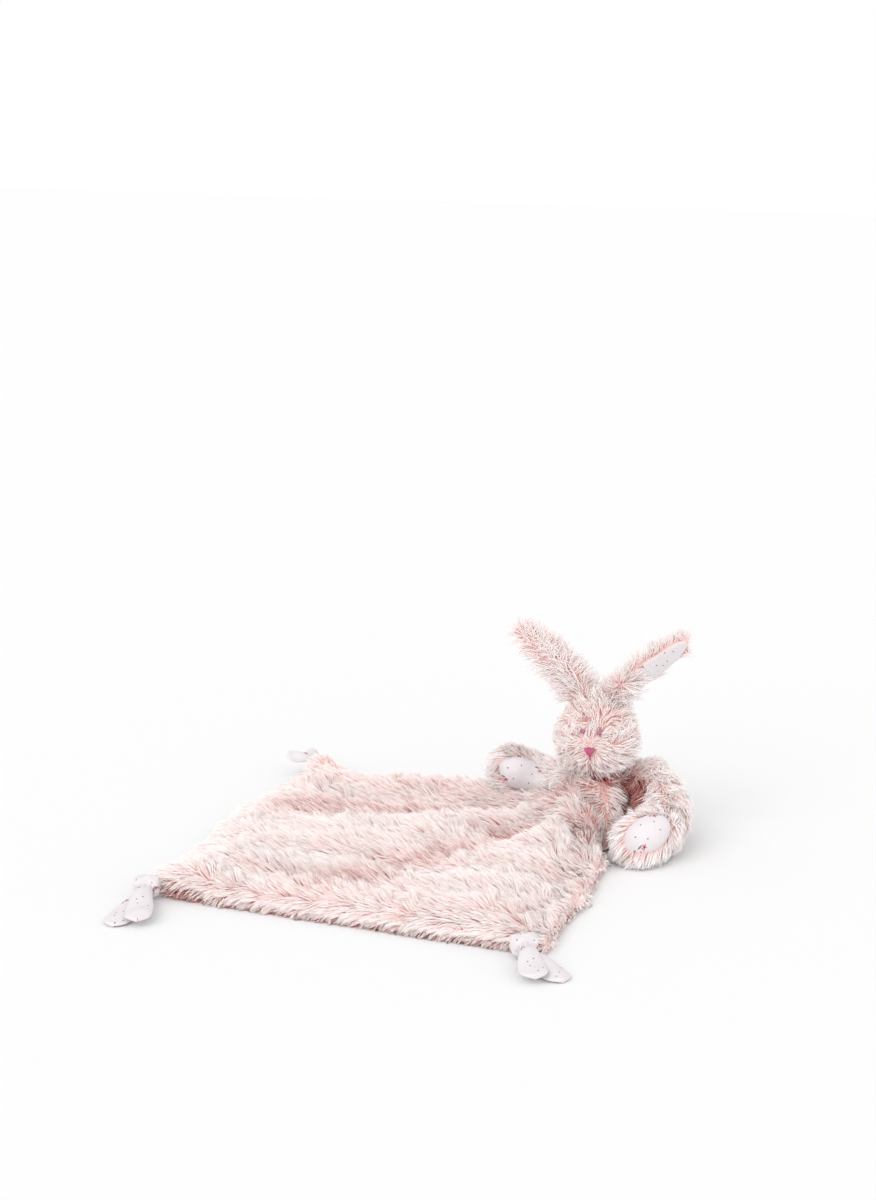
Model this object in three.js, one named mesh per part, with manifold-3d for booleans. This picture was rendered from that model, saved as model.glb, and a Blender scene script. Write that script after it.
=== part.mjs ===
// A rabbit comforter: a square blanket of two plush layers whose fourth corner is gathered into a
// small stuffed rabbit, with a knotted cotton tie sewn in at each of the other three corners.
// Millimetres, +Z up. The origin is the middle of the blanket's square, on the floor. X and Y run
// along the two sides that meet at the front left tie. Left and right are the rabbit's own.
import * as THREE from "three";
import { mergeVertices } from "three/addons/utils/BufferGeometryUtils.js";
import Module from "manifold-3d";

const wasm = await Module();
wasm.setup();

// Fits
const CLEARANCE = 0.3; // gap left where two pieces are sewn or rest on each other
const BLUNT_END = 0.17; // radius left at the very end of a limb, as a share of its full radius
const OVERRUN = 6; // how far a cutter runs past what it cuts

// Blanket: two layers of long pile plush, measured halfway up the pile
const BLANKET_SIDE = 288;
const LAYER_THICKNESS = 4.5;
const BACK_BOW = 21; // outward bow of the back side
const RIGHT_BOW = 16;
const LEFT_BOW = 20;
const BOW_SKEW = 1.5; // moves each bow away from the front left corner
const CORNER_PULL = 12; // how far the back left corner is pulled out to the left
const FOLD_COUNT = 8; // folds in a full turn around the rabbit
const FOLD_ANGLE = -141.5; // direction of one fold's crest, in degrees
const FOLD_HEIGHT = 9;
const FOLD_REACH = 95; // distance from the rabbit at which the folds stand highest
const RIPPLE_HEIGHT = 3; // of the small waves between the folds
const RIPPLE_LENGTH = 46; // from crest to crest
const BACK_RISE = 6; // how far the cloth rises behind, on its way to the rabbit
const BACK_START = 0.72; // share of the side at which it starts to
const CLIMB_HEIGHT = 10; // how far the cloth climbs the foot of the body
const CLIMB_REACH = 19; // distance over which it falls away
const CLIMB_SEAM = 16; // distance from the sewn edge at which it climbs freely
const SEAM_REACH = 36; // distance from the sewn edge at which a fold stands free
const LAYER_STEPS = 24;

// Rabbit: how far in from the blanket's square corner it is gathered, the way its body faces, and
// how far its face is turned
const GATHER_X = 54;
const GATHER_Y = 42;
const BODY_X = BLANKET_SIDE / 2 - GATHER_X;
const BODY_Y = BLANKET_SIDE / 2 - GATHER_Y;
const HEADING = 23;
const FACE_TURN = -14;

// Stuffed covers
const COVER_THICKNESS = 3.5;

// Body
const BODY_HEIGHT = 47;
const BASE_RADIUS = 18;
const BELLY_RADIUS = 19.5;
const BELLY_HEIGHT = 13;
const COLLAR_RADIUS = 14;
const BODY_SLUMP = 16; // how far the foot of the body lies in front of the neck
const BODY_SPREAD = 0.6; // how much longer than wide the body is at its foot
const BODY_RINGS = 8;
const BODY_SIDES = 20;
const BODY_CORE_SIDES = 18; // of the stuffing and the hollow that it fills

// Neck
const NECK_RADIUS = 11;
const NECK_RISE = 3; // centre of the neck above the collar
const NECK_HEIGHT = BODY_HEIGHT + NECK_RISE;

// Head
const HEAD_WIDTH = 58;
const HEAD_DEPTH = 54;
const HEAD_HEIGHT = 57;
const CHIN_RISE = 0.5; // underside of the head above the centre of the neck
const HEAD_RISE = CHIN_RISE + HEAD_HEIGHT / 2;
const HEAD_PEAR = 0.13; // how much wider the cheeks are than the crown
const MUZZLE_LENGTH = 4;
const MUZZLE_DROP = 18; // degrees below level
const HEAD_FACETS = [22, 14]; // around and down
const HEAD_CORE_FACETS = [16, 10]; // of the stuffing and the hollow that it fills

// Face
const EYE_RADIUS = 2.3;
const EYE_SPACING = 12.4;
const EYE_RISE = 9; // above the centre of the head
const NOSE_WIDTH = 7;
const NOSE_HEIGHT = 6.5;
const NOSE_RISE = -6.5;
const NOSE_LENGTH = 1.6;
const NOSE_ARCH = 0.12; // how far the nose's top edge arches, as a share of its height
const NOSE_HOLLOW = 0.42; // how far its lower sides stand out, as a share of its width
const MOUTH_LENGTH = 8;
const MOUTH_WIDTH = 1.4;

// Ears
const EAR_LENGTH = 69; // from the hinge line to the tip
const EAR_WIDTH = 22;
const EAR_WIDEST = 32; // from the hinge line
const EAR_THICKNESS = 6.4;
const EAR_ROOT_RADIUS = 6; // gathered root, sewn to the crown
const EAR_ROOT_WIDTH = 15; // leaf where it leaves the root
const EAR_EDGE = 0.45; // thickness at both ends of the leaf, as a share of the full thickness
const EAR_BEND = 5; // how far the tip curls towards the plush side
const EAR_SIDE = 24; // degrees from the crown to the ear's seat
const LINING_THICKNESS = 1.2;
const LINING_RIM = 3.2; // plush left showing around the lining
const LINING_START = 17; // from the hinge line
const EARS = { // sway is how far the tip bends sideways
  ear_left: { side: 1, rise: 37, lean: 0, roll: 38, sway: 0 },
  ear_right: { side: -1, rise: 48, lean: 27, roll: 155, sway: -15 },
};

// Arms: palm is how far the palm looks up, in degrees. Each stop is to the side of the shoulder, behind
// the middle of the body, and the height of the arm's underside where it is as thick as the paw.
const SHOULDER_RADIUS = 9;
const SHOULDER_HEIGHT = 36;
const SHOULDER_OUT = 3; // centre of the shoulder outside the body
const ARMPIT_RADIUS = 7.5; // where the arm leaves its shoulder
const ARM_SWELL = 24; // length over which it swells to the arm
const ARM_RADIUS = 13.5;
const PAW_RADIUS = 15;
const PAW_LENGTH = 13; // round end of the paw
const PALM_SETBACK = 19; // middle of the palm from the end of the paw
const PAD_LENGTH = 38;
const PAD_WIDTH = 26;
const PAD_THICKNESS = 1.2;
const PAD_SEAM = 3; // pad left lying on the cover around the stuffing hole
const ARMS = {
  arm_left: {
    side: 1,
    back: 6,
    palm: 34,
    stops: [[14, 9, 27], [27, -3, 22], [32, -22, 14], [28, -44, 8], [15, -61, 3], [-4, -71, -4]],
  },
  arm_right: {
    side: -1,
    back: 10,
    palm: 10,
    stops: [[11, 31, 18], [25, 40, 18], [40, 41, 23], [54, 37, 31]],
  },
};

// Ties: leaves and points are the directions of the tab and of the tails in degrees, and lift tips
// the tails up
const TAB_WIDTH = 8;
const TAB_THICKNESS = 2;
const TAB_INSERT = 8; // length sewn in between the layers
const KNOT_RADIUS = 8;
const KNOT_WIDTH = 19;
const KNOT_GAP = 4; // between the blanket and the knot
const KNOT_LIFT = 1.5; // underside of the knot above the floor
const KNOT_REACH = KNOT_GAP + KNOT_RADIUS;
const KNOT_HEIGHT = KNOT_LIFT + KNOT_RADIUS;
const TAIL_WIDTH = 19;
const FOLDED_WIDTH = 12; // of tails folded lengthwise
const TAIL_ROOT_WIDTH = 10;
const TAIL_THICKNESS = 3.4;
const TAIL_SLOPE = 0.7; // share of the tail that runs down to the floor and widens
const TIE_INSET = 10; // front right tie from its corner, along the front side
const LONG_TAIL = 56; // length from inside the knot
const MIDDLE_TAIL = 46;
const SHORT_TAIL = 24;
const TAIL_GAP = 1.2; // between the upper tail and the lower one
const TAIL_STACK = TAIL_THICKNESS + TAIL_GAP;
const TIES = {
  tie_front_left: {
    corner: [-1, -1], inset: 0, leaves: -130, points: -76, lift: 0, spread: 9, tail: LONG_TAIL,
    width: TAIL_WIDTH,
  },
  tie_front_right: {
    corner: [1, -1], inset: TIE_INSET, leaves: -100, points: -50, lift: 0, spread: -12, tail: MIDDLE_TAIL,
    width: TAIL_WIDTH,
  },
  tie_back_left: {
    corner: [-1, 1], inset: -CORNER_PULL, leaves: 140, points: 160, lift: 32, spread: 40, tail: SHORT_TAIL,
    width: FOLDED_WIDTH,
  },
};

// Colours and how matt they are
const PLUSH_PINK = 0xf1d2cd;
const COTTON_WHITE = 0xf2efef;
const FILLING_WHITE = 0xf5f3ef;
const NOSE_PINK = 0xc4587f;
const EYE_PINK = 0xb98393;
const PLUSH_ROUGHNESS = 0.95;
const COTTON_ROUGHNESS = 0.85;
const FILLING_ROUGHNESS = 1;
const THREAD_ROUGHNESS = 0.5;

// Solids: from a three.js geometry to one that can be cut and joined, and back
function solidOf(geometry) {
  const bare = geometry.clone();
  bare.deleteAttribute("normal");
  bare.deleteAttribute("uv");
  const merged = mergeVertices(bare);
  const corners = merged.index.array;
  const triangles = [];
  for (let i = 0; i < corners.length; i += 3) {
    const [a, b, c] = corners.subarray(i, i + 3);
    if (a !== b && b !== c && c !== a) triangles.push(a, b, c);
  }
  const vertProperties = Float32Array.from(merged.attributes.position.array);
  const triVerts = Uint32Array.from(triangles);
  return new wasm.Manifold(new wasm.Mesh({ numProp: 3, vertProperties, triVerts }));
}

function geometryOf(solid) {
  const mesh = solid.getMesh();
  const geometry = new THREE.BufferGeometry();
  geometry.setAttribute("position", new THREE.BufferAttribute(mesh.vertProperties, 3));
  geometry.setIndex(new THREE.BufferAttribute(mesh.triVerts, 1));
  geometry.computeVertexNormals();
  return geometry;
}

function piece(name, solid, color, roughness) {
  const material = new THREE.MeshStandardMaterial({ color, roughness, metalness: 0 });
  const mesh = new THREE.Mesh(solid.isBufferGeometry ? solid : geometryOf(solid), material);
  mesh.name = name;
  return mesh;
}

const plush = (name, solid) => piece(name, solid, PLUSH_PINK, PLUSH_ROUGHNESS);
const cotton = (name, solid) => piece(name, solid, COTTON_WHITE, COTTON_ROUGHNESS);
const filling = (name, solid) => piece(name, solid, FILLING_WHITE, FILLING_ROUGHNESS);
const thread = (name, solid, color) => piece(name, solid, color, THREAD_ROUGHNESS);

// Moves every point of a geometry by a function
function reshape(geometry, move) {
  const places = geometry.attributes.position;
  const point = new THREE.Vector3();
  for (let i = 0; i < places.count; i += 1) {
    point.fromBufferAttribute(places, i);
    move(point);
    places.setXYZ(i, point.x, point.y, point.z);
  }
  return geometry;
}

function ball(radius, centre, across = 20, down = 12) {
  return new THREE.SphereGeometry(radius, across, down).translate(centre.x, centre.y, centre.z);
}

function oval(length, width) {
  const outline = new THREE.Shape();
  outline.absellipse(0, 0, length / 2, width / 2, 0, Math.PI * 2);
  return outline;
}

// A soft limb: a cylinder bent along a curve, with an elliptical section that swells and tapers.
// halfWidth and halfThickness take the distance from the start, flat is the limb's flat side, and
// beyond is how far the limb runs past the end of the curve.
function limb(curve, halfWidth, halfThickness, flat, sides, steps, beyond = 0) {
  const length = curve.getLength();
  return reshape(new THREE.CylinderGeometry(1, 1, 1, sides, steps), (point) => {
    const distance = (0.5 - 0.5 * Math.cos(Math.PI * (point.y + 0.5))) * (length + beyond);
    const share = Math.min(1, distance / length);
    const along = curve.getTangentAt(share);
    const normal = flat.clone().addScaledVector(along, -flat.dot(along)).normalize();
    const side = along.clone().cross(normal);
    const { x, z } = point;
    curve.getPointAt(share, point);
    point.addScaledVector(along, distance - share * length);
    point.addScaledVector(side, x * halfWidth(distance));
    point.addScaledVector(normal, z * halfThickness(distance));
  });
}

// Height of a round end of the given length and radius, at a distance from its tip
function roundEnd(distance, length, radius) {
  const short = Math.max(0, 1 - distance / length);
  return radius * Math.max(BLUNT_END, Math.sqrt(1 - short * short));
}

// Frames: the rabbit's own axes, with -Y the way its body faces, and the head's on the neck
const rabbit = new THREE.Group();
rabbit.position.set(BODY_X, BODY_Y, 0);
rabbit.rotation.z = THREE.MathUtils.degToRad(HEADING);
rabbit.updateMatrix();
const UP = new THREE.Vector3(0, 0, 1);
const FORWARD = new THREE.Vector3(0, -1, 0);
const neckCentre = new THREE.Vector3(0, 0, NECK_HEIGHT);
const neckSeat = solidOf(ball(NECK_RADIUS + CLEARANCE, neckCentre));

// Body
function bodyRadius(height) {
  if (height < BELLY_HEIGHT) {
    const drop = 1 - height / BELLY_HEIGHT;
    return BELLY_RADIUS - (BELLY_RADIUS - BASE_RADIUS) * drop * drop;
  }
  const rise = THREE.MathUtils.smoothstep(height, BELLY_HEIGHT, BODY_HEIGHT);
  return BELLY_RADIUS - (BELLY_RADIUS - COLLAR_RADIUS) * rise;
}

function bodyForm(grow, low, high, sides) {
  const heights = [low];
  for (let i = 0; i <= BODY_RINGS; i += 1) {
    const height = BODY_HEIGHT * i / BODY_RINGS;
    if (height > low && height < high) heights.push(height);
  }
  heights.push(high);
  const profile = heights.map((height) => new THREE.Vector2(bodyRadius(height) + grow, height));
  profile.unshift(new THREE.Vector2(0, low));
  profile.push(new THREE.Vector2(0, high));
  return reshape(new THREE.LatheGeometry(profile, sides).rotateX(Math.PI / 2), (point) => {
    const drop = THREE.MathUtils.clamp(1 - point.z / BODY_HEIGHT, 0, 1);
    point.y = point.y * (1 + BODY_SPREAD * drop) - BODY_SLUMP * drop;
  });
}

function addBody(shoulders) {
  const inside = bodyForm(
    -COVER_THICKNESS, COVER_THICKNESS, BODY_HEIGHT + OVERRUN, BODY_CORE_SIDES);
  const wall = COVER_THICKNESS + CLEARANCE;
  const fill = bodyForm(-wall, wall, BODY_HEIGHT - CLEARANCE, BODY_CORE_SIDES);
  const outside = bodyForm(0, 0, BODY_HEIGHT, BODY_SIDES);
  let cover = solidOf(outside).subtract(solidOf(inside)).subtract(neckSeat);
  let stuffing = solidOf(fill).subtract(neckSeat);
  for (const centre of shoulders) {
    const seat = solidOf(ball(SHOULDER_RADIUS + CLEARANCE, centre));
    cover = cover.subtract(seat);
    stuffing = stuffing.subtract(seat);
  }
  rabbit.add(plush("body_cover", cover), filling("body_filling", stuffing));
}

// Blanket
function laidPoint(along, across) {
  const half = BLANKET_SIDE / 2;
  const front = THREE.MathUtils.lerp(-half, half, along);
  const side = THREE.MathUtils.lerp(-half, half, across);
  const back = THREE.MathUtils.lerp(-half, BODY_X, along);
  const right = THREE.MathUtils.lerp(-half, BODY_Y, across);
  const bow = (share) => Math.sin(Math.PI * share ** BOW_SKEW);
  const leftward = LEFT_BOW * bow(across) + CORNER_PULL * across ** 2;
  const rightward = RIGHT_BOW * bow(across);
  const x = THREE.MathUtils.lerp(front, back, across) + along * rightward - (1 - along) * leftward;
  const y = THREE.MathUtils.lerp(side, right, along) + across * BACK_BOW * bow(along);
  return new THREE.Vector2(x, y);
}

function foldHeight(x, y) {
  const angle = Math.atan2(y - BODY_Y, x - BODY_X) - THREE.MathUtils.degToRad(FOLD_ANGLE);
  const reach = Math.hypot(x - BODY_X, y - BODY_Y) / FOLD_REACH;
  return FOLD_HEIGHT * (0.5 + 0.5 * Math.cos(FOLD_COUNT * angle)) * reach * Math.exp(1 - reach);
}

function rippleHeight(x, y) {
  const turn = 2 * Math.PI / RIPPLE_LENGTH;
  return RIPPLE_HEIGHT * (0.5 + 0.5 * Math.sin(turn * y + 1.2 * Math.sin(turn * x / 2.6)));
}

// About how far a place on the floor is from the foot of the body
function bodyDistance(x, y) {
  const place = new THREE.Vector3(x, y, 0).applyMatrix4(rabbit.matrix.clone().invert());
  return Math.hypot(place.x, (place.y + BODY_SLUMP) / (1 + BODY_SPREAD)) - BELLY_RADIUS;
}

function topLayer() {
  const { smoothstep } = THREE.MathUtils;
  const sheet = new THREE.BoxGeometry(1, 1, 1, LAYER_STEPS, LAYER_STEPS, 1);
  return reshape(sheet, (point) => {
    const [along, across] = [point.x + 0.5, point.y + 0.5];
    const { x, y } = laidPoint(along, across);
    const inside = BLANKET_SIDE * Math.min(along, 1 - along, across, 1 - across);
    const back = BACK_RISE * smoothstep(across, BACK_START, 1) * smoothstep(along, 0, BACK_START);
    const waves = (foldHeight(x, y) + rippleHeight(x, y) + back) * smoothstep(inside, 0, SEAM_REACH);
    const climb = CLIMB_HEIGHT * Math.exp(-Math.max(0, bodyDistance(x, y)) / CLIMB_REACH);
    const lift = waves + climb * smoothstep(inside, 0, CLIMB_SEAM);
    const low = LAYER_THICKNESS + CLEARANCE;
    point.set(x, y, low + (point.z + 0.5) * LAYER_THICKNESS + lift);
  });
}

function backLayer() {
  const outline = [];
  for (let i = 0; i < LAYER_STEPS; i += 1) outline.push(laidPoint(1, i / LAYER_STEPS));
  for (let i = LAYER_STEPS; i > 0; i -= 1) outline.push(laidPoint(i / LAYER_STEPS, 1));
  for (let i = LAYER_STEPS; i >= 0; i -= 1) outline.push(laidPoint(0, i / LAYER_STEPS));
  const depth = LAYER_THICKNESS;
  return new THREE.ExtrudeGeometry(new THREE.Shape(outline), { depth, bevelEnabled: false });
}

function addBlanket(object, tabs) {
  const bodyGap = bodyForm(CLEARANCE, -OVERRUN, BODY_HEIGHT + OVERRUN, BODY_SIDES);
  const cutters = [solidOf(bodyGap.applyMatrix4(rabbit.matrix)), ...tabs];
  const cut = (geometry) => cutters.reduce((solid, cutter) => solid.subtract(cutter), solidOf(geometry));
  object.add(plush("blanket_back_layer", cut(backLayer())));
  object.add(plush("blanket_top_layer", cut(topLayer())));
}

// Head, drawn about the centre of the neck with the face towards -Y
function headPoint(direction, grow) {
  const drop = THREE.MathUtils.degToRad(MUZZLE_DROP);
  const muzzle = direction.y * -Math.cos(drop) + direction.z * -Math.sin(drop);
  const pear = 1 - HEAD_PEAR * direction.z;
  return new THREE.Vector3(
    direction.x * pear * (HEAD_WIDTH / 2 + grow),
    direction.y * pear * (HEAD_DEPTH / 2 + grow) - MUZZLE_LENGTH * Math.max(0, muzzle) ** 4,
    direction.z * (HEAD_HEIGHT / 2 + grow) + HEAD_RISE,
  );
}

function headForm(grow, [across, down]) {
  const form = new THREE.SphereGeometry(1, across, down).rotateX(Math.PI / 2);
  return reshape(form, (point) => point.copy(headPoint(point.clone().normalize(), grow)));
}

// Place on the face at a distance to the side and above the centre of the head
function facePoint(side, rise) {
  const z = rise / (HEAD_HEIGHT / 2);
  const x = side / (HEAD_WIDTH / 2);
  return headPoint(new THREE.Vector3(x, -Math.sqrt(1 - x * x - z * z), z), 0);
}

function noseOutline() {
  const [half, top] = [NOSE_WIDTH / 2, NOSE_HEIGHT / 2];
  const [bulge, low] = [NOSE_WIDTH * NOSE_HOLLOW, -NOSE_HEIGHT / 5];
  const outline = new THREE.Shape();
  outline.moveTo(-half, top);
  outline.quadraticCurveTo(0, top + NOSE_HEIGHT * NOSE_ARCH, half, top);
  outline.quadraticCurveTo(bulge, low, 0, -top);
  outline.quadraticCurveTo(-bulge, low, -half, top);
  return outline;
}

function addFace(head) {
  const skull = solidOf(headForm(CLEARANCE, HEAD_FACETS));
  for (const [name, side] of [["eye_left", 1], ["eye_right", -1]]) {
    const bead = ball(EYE_RADIUS, facePoint(side * EYE_SPACING / 2, EYE_RISE), 12, 8);
    head.add(thread(name, solidOf(bead).subtract(skull), EYE_PINK));
  }

  const tip = facePoint(0, NOSE_RISE);
  const depth = NOSE_LENGTH + CLEARANCE + OVERRUN;
  const extrusion = { depth, bevelEnabled: false, curveSegments: 4 };
  const wedge = new THREE.ExtrudeGeometry(noseOutline(), extrusion);
  wedge.rotateX(Math.PI / 2).translate(0, tip.y + OVERRUN, tip.z);
  head.add(thread("nose", solidOf(wedge).subtract(skull), NOSE_PINK));

  const mouthTop = NOSE_RISE - NOSE_HEIGHT / 2 - CLEARANCE;
  const stitches = [0, 0.5, 1].map((share) => facePoint(0, mouthTop - share * MOUTH_LENGTH));
  const line = limb(
    new THREE.CatmullRomCurve3(stitches), () => MOUTH_WIDTH / 2, () => MOUTH_WIDTH, FORWARD, 8, 6);
  const mouth = solidOf(line).subtract(skull).subtract(solidOf(wedge.translate(0, 0, -CLEARANCE)));
  head.add(thread("mouth_stitch", mouth, NOSE_PINK));
}

function addHead() {
  const head = new THREE.Group();
  head.position.copy(neckCentre);
  head.rotation.z = THREE.MathUtils.degToRad(FACE_TURN);
  const opening = solidOf(ball(NECK_RADIUS + CLEARANCE, new THREE.Vector3()));
  const inside = solidOf(headForm(-COVER_THICKNESS, HEAD_CORE_FACETS));
  const cover = solidOf(headForm(0, HEAD_FACETS)).subtract(inside).subtract(opening);
  const core = solidOf(headForm(-COVER_THICKNESS - CLEARANCE, HEAD_CORE_FACETS));
  const stuffing = core.subtract(opening);
  head.add(plush("head_cover", cover), filling("head_filling", stuffing));
  addFace(head);
  rabbit.add(plush("neck_gather", ball(NECK_RADIUS, neckCentre)), head);
  return head;
}

// Ears: X runs from the hinge line to the tip, Y across, and the lining faces +Z
function earHalfWidth(x, inset) {
  const widest = EAR_WIDTH / 2 - inset;
  if (x > EAR_WIDEST) return roundEnd(EAR_LENGTH - x, EAR_LENGTH - EAR_WIDEST, widest);
  const root = EAR_ROOT_WIDTH / 2 - inset;
  return THREE.MathUtils.lerp(root, widest, Math.sin(Math.PI / 2 * x / EAR_WIDEST));
}

function liningOutline(inset) {
  const edge = [];
  const start = LINING_START + inset - LINING_RIM;
  const end = EAR_LENGTH - inset;
  const steps = 12;
  for (let i = 0; i <= steps; i += 1) {
    const share = 0.5 - 0.5 * Math.cos(Math.PI * i / steps);
    const x = THREE.MathUtils.lerp(start, end, share);
    const taper = roundEnd(end - x, EAR_LENGTH - EAR_WIDEST, 1);
    edge.push(new THREE.Vector2(x, Math.max(1, earHalfWidth(x, inset) * taper)));
  }
  const mirror = edge.map((point) => new THREE.Vector2(point.x, -point.y));
  return new THREE.Shape([...mirror, ...edge.reverse()]);
}

function liningForm(inset, floor) {
  const depth = EAR_THICKNESS;
  const form = new THREE.ExtrudeGeometry(liningOutline(inset), { depth, bevelEnabled: false });
  return solidOf(form.translate(0, 0, floor));
}

function addEar(head, name, { side, rise, lean, roll, sway }) {
  const hinge = new THREE.Vector3();
  const spine = new THREE.LineCurve3(hinge, new THREE.Vector3(EAR_LENGTH, 0, 0));
  const bulge = (s) => Math.sqrt(1 - (2 * s / EAR_LENGTH - 1) ** 4);
  const thin = (s) => EAR_THICKNESS / 2 * Math.max(EAR_EDGE, bulge(s));
  const leaf = solidOf(limb(spine, (s) => earHalfWidth(s, 0), thin, UP, 14, 12));
  const root = solidOf(ball(EAR_ROOT_RADIUS, hinge));
  const floor = EAR_THICKNESS / 2 - LINING_THICKNESS;
  const lining = leaf.intersect(liningForm(LINING_RIM, floor));
  const back = leaf.add(root).subtract(liningForm(LINING_RIM - CLEARANCE, floor - CLEARANCE));
  const curl = (solid) => reshape(geometryOf(solid), (point) => {
    const bend = (point.x / EAR_LENGTH) ** 2;
    point.y += sway * bend;
    point.z -= EAR_BEND * bend;
  });

  const seatAngle = THREE.MathUtils.degToRad(EAR_SIDE);
  const outward = new THREE.Vector3(side * Math.sin(seatAngle), 0, Math.cos(seatAngle));
  const ear = new THREE.Group();
  ear.position.copy(headPoint(outward, 0)).addScaledVector(outward, EAR_ROOT_RADIUS + CLEARANCE);
  const upward = THREE.MathUtils.degToRad(rise);
  const backward = THREE.MathUtils.degToRad(lean);
  const along = new THREE.Vector3(side * Math.cos(upward), Math.tan(backward), Math.sin(upward));
  along.normalize();
  const level = FORWARD.clone().addScaledVector(along, -FORWARD.dot(along)).normalize();
  const facing = level.applyAxisAngle(along, THREE.MathUtils.degToRad(side * roll));
  const across = facing.clone().cross(along);
  ear.quaternion.setFromRotationMatrix(new THREE.Matrix4().makeBasis(along, across, facing));
  ear.add(plush(`${name}_back`, curl(back)), cotton(`${name}_lining`, curl(lining)));
  head.add(ear);
}

// Arms
function armCurve({ side, back, stops }) {
  const shoulder = new THREE.Vector3(
    side * (bodyRadius(SHOULDER_HEIGHT) + SHOULDER_OUT), back, SHOULDER_HEIGHT);
  const rest = stops.map(([out, behind, under]) => new THREE.Vector3(
    shoulder.x + side * out, behind, under + PAW_RADIUS));
  return new THREE.CatmullRomCurve3([shoulder, ...rest]);
}

function armForm(curve, grow) {
  const length = curve.getLength();
  const radius = (s) => {
    const upper = THREE.MathUtils.smoothstep(s, 0, ARM_SWELL);
    const lower = THREE.MathUtils.smoothstep(s, ARM_SWELL, length - PALM_SETBACK);
    const full = ARMPIT_RADIUS + (ARM_RADIUS - ARMPIT_RADIUS) * upper + (PAW_RADIUS - ARM_RADIUS) * lower;
    return Math.min(full + grow, roundEnd(length + grow - s, PAW_LENGTH + grow, PAW_RADIUS + grow));
  };
  return solidOf(limb(curve, radius, radius, UP, 12, 11, grow));
}

function padCutter(curve, palm, inset) {
  const share = 1 - PALM_SETBACK / curve.getLength();
  const along = curve.getTangentAt(share);
  const upward = THREE.MathUtils.degToRad(palm);
  const facing = FORWARD.clone().multiplyScalar(Math.cos(upward)).addScaledVector(UP, Math.sin(upward));
  facing.addScaledVector(along, -facing.dot(along)).normalize();
  const across = facing.clone().cross(along);
  const outline = oval(PAD_LENGTH - 2 * inset, PAD_WIDTH - 2 * inset);
  const depth = PAW_RADIUS + OVERRUN;
  const form = new THREE.ExtrudeGeometry(outline, { depth, bevelEnabled: false, curveSegments: 10 });
  const place = new THREE.Matrix4().makeBasis(along, across, facing).setPosition(curve.getPointAt(share));
  return solidOf(form.applyMatrix4(place));
}

function addArm(name, curve, palm) {
  const shoulder = solidOf(ball(SHOULDER_RADIUS, curve.getPoint(0)));
  const cover = armForm(curve, 0).add(shoulder)
    .subtract(armForm(curve, -COVER_THICKNESS))
    .subtract(padCutter(curve, palm, PAD_SEAM));
  const stuffing = armForm(curve, -COVER_THICKNESS - CLEARANCE);
  const pad = padCutter(curve, palm, 0)
    .intersect(armForm(curve, PAD_THICKNESS + CLEARANCE))
    .subtract(armForm(curve, CLEARANCE));
  rabbit.add(plush(`${name}_cover`, cover), filling(`${name}_filling`, stuffing));
  rabbit.add(cotton(name.replace("arm", "paw_pad"), pad));
}

// Ties: the knot's axis is the line that the tails swing about
function knotForm(grow) {
  const profile = [];
  const steps = 6;
  for (let i = 0; i <= steps; i += 1) {
    const angle = Math.PI * (i / steps - 0.5);
    const radius = (KNOT_RADIUS + grow) * Math.sqrt(Math.abs(Math.cos(angle)));
    profile.push(new THREE.Vector2(i % steps ? radius : 0, (KNOT_WIDTH / 2 + grow) * Math.sin(angle)));
  }
  return new THREE.LatheGeometry(profile, 16);
}

function tailForm(spread, level, length, width) {
  const start = KNOT_RADIUS / 2;
  const turn = THREE.MathUtils.degToRad(spread);
  const floor = TAIL_THICKNESS / 2 + 2 * CLEARANCE - KNOT_HEIGHT + level;
  const at = (reach, height) => new THREE.Vector3(
    start + reach * Math.cos(turn), reach * Math.sin(turn), height);
  const root = level - TAIL_STACK / 2;
  const spine = new THREE.CatmullRomCurve3([
    at(0, root), at(length * TAIL_SLOPE / 2, (2 * root + floor) / 3),
    at(length * TAIL_SLOPE, floor), at(length, floor)]);
  const wide = (s) => {
    const spreading = THREE.MathUtils.smoothstep(s, 0, length * TAIL_SLOPE);
    const full = THREE.MathUtils.lerp(TAIL_ROOT_WIDTH, width, spreading) / 2;
    return Math.min(full, roundEnd(spine.getLength() - s, width / 2, width / 2));
  };
  const tongue = limb(spine, wide, () => TAIL_THICKNESS / 2, UP, 10, 7);
  return solidOf(tongue).subtract(solidOf(knotForm(CLEARANCE)));
}

function addTie(object, name, { corner, inset, leaves, points, lift, spread, tail, width }) {
  const out = THREE.MathUtils.degToRad(leaves);
  const edge = new THREE.Vector2(corner[0] * (BLANKET_SIDE / 2 - inset), corner[1] * BLANKET_SIDE / 2);
  const tie = new THREE.Group();
  tie.position.set(
    edge.x + KNOT_REACH * Math.cos(out), edge.y + KNOT_REACH * Math.sin(out), KNOT_HEIGHT);
  tie.rotation.set(0, -THREE.MathUtils.degToRad(lift), THREE.MathUtils.degToRad(points), "ZYX");
  tie.updateMatrix();
  tie.add(cotton(`${name}_knot`, knotForm(0)));
  tie.add(cotton(`${name}_upper_tail`, tailForm(spread, TAIL_STACK, tail, width)));
  tie.add(cotton(`${name}_lower_tail`, tailForm(-spread, 0, tail, width)));
  object.add(tie);

  const strip = (grow) => {
    const length = TAB_INSERT + KNOT_REACH + grow;
    const box = new THREE.BoxGeometry(length, TAB_WIDTH + 2 * grow, TAB_THICKNESS + 2 * grow);
    box.translate((KNOT_REACH - TAB_INSERT - grow) / 2, 0, 0).rotateZ(out);
    return solidOf(box.translate(edge.x, edge.y, LAYER_THICKNESS + CLEARANCE / 2));
  };
  const knotSeat = solidOf(knotForm(CLEARANCE).applyMatrix4(tie.matrix));
  object.add(cotton(`${name}_tab`, strip(0).subtract(knotSeat)));
  return strip(CLEARANCE);
}

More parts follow.
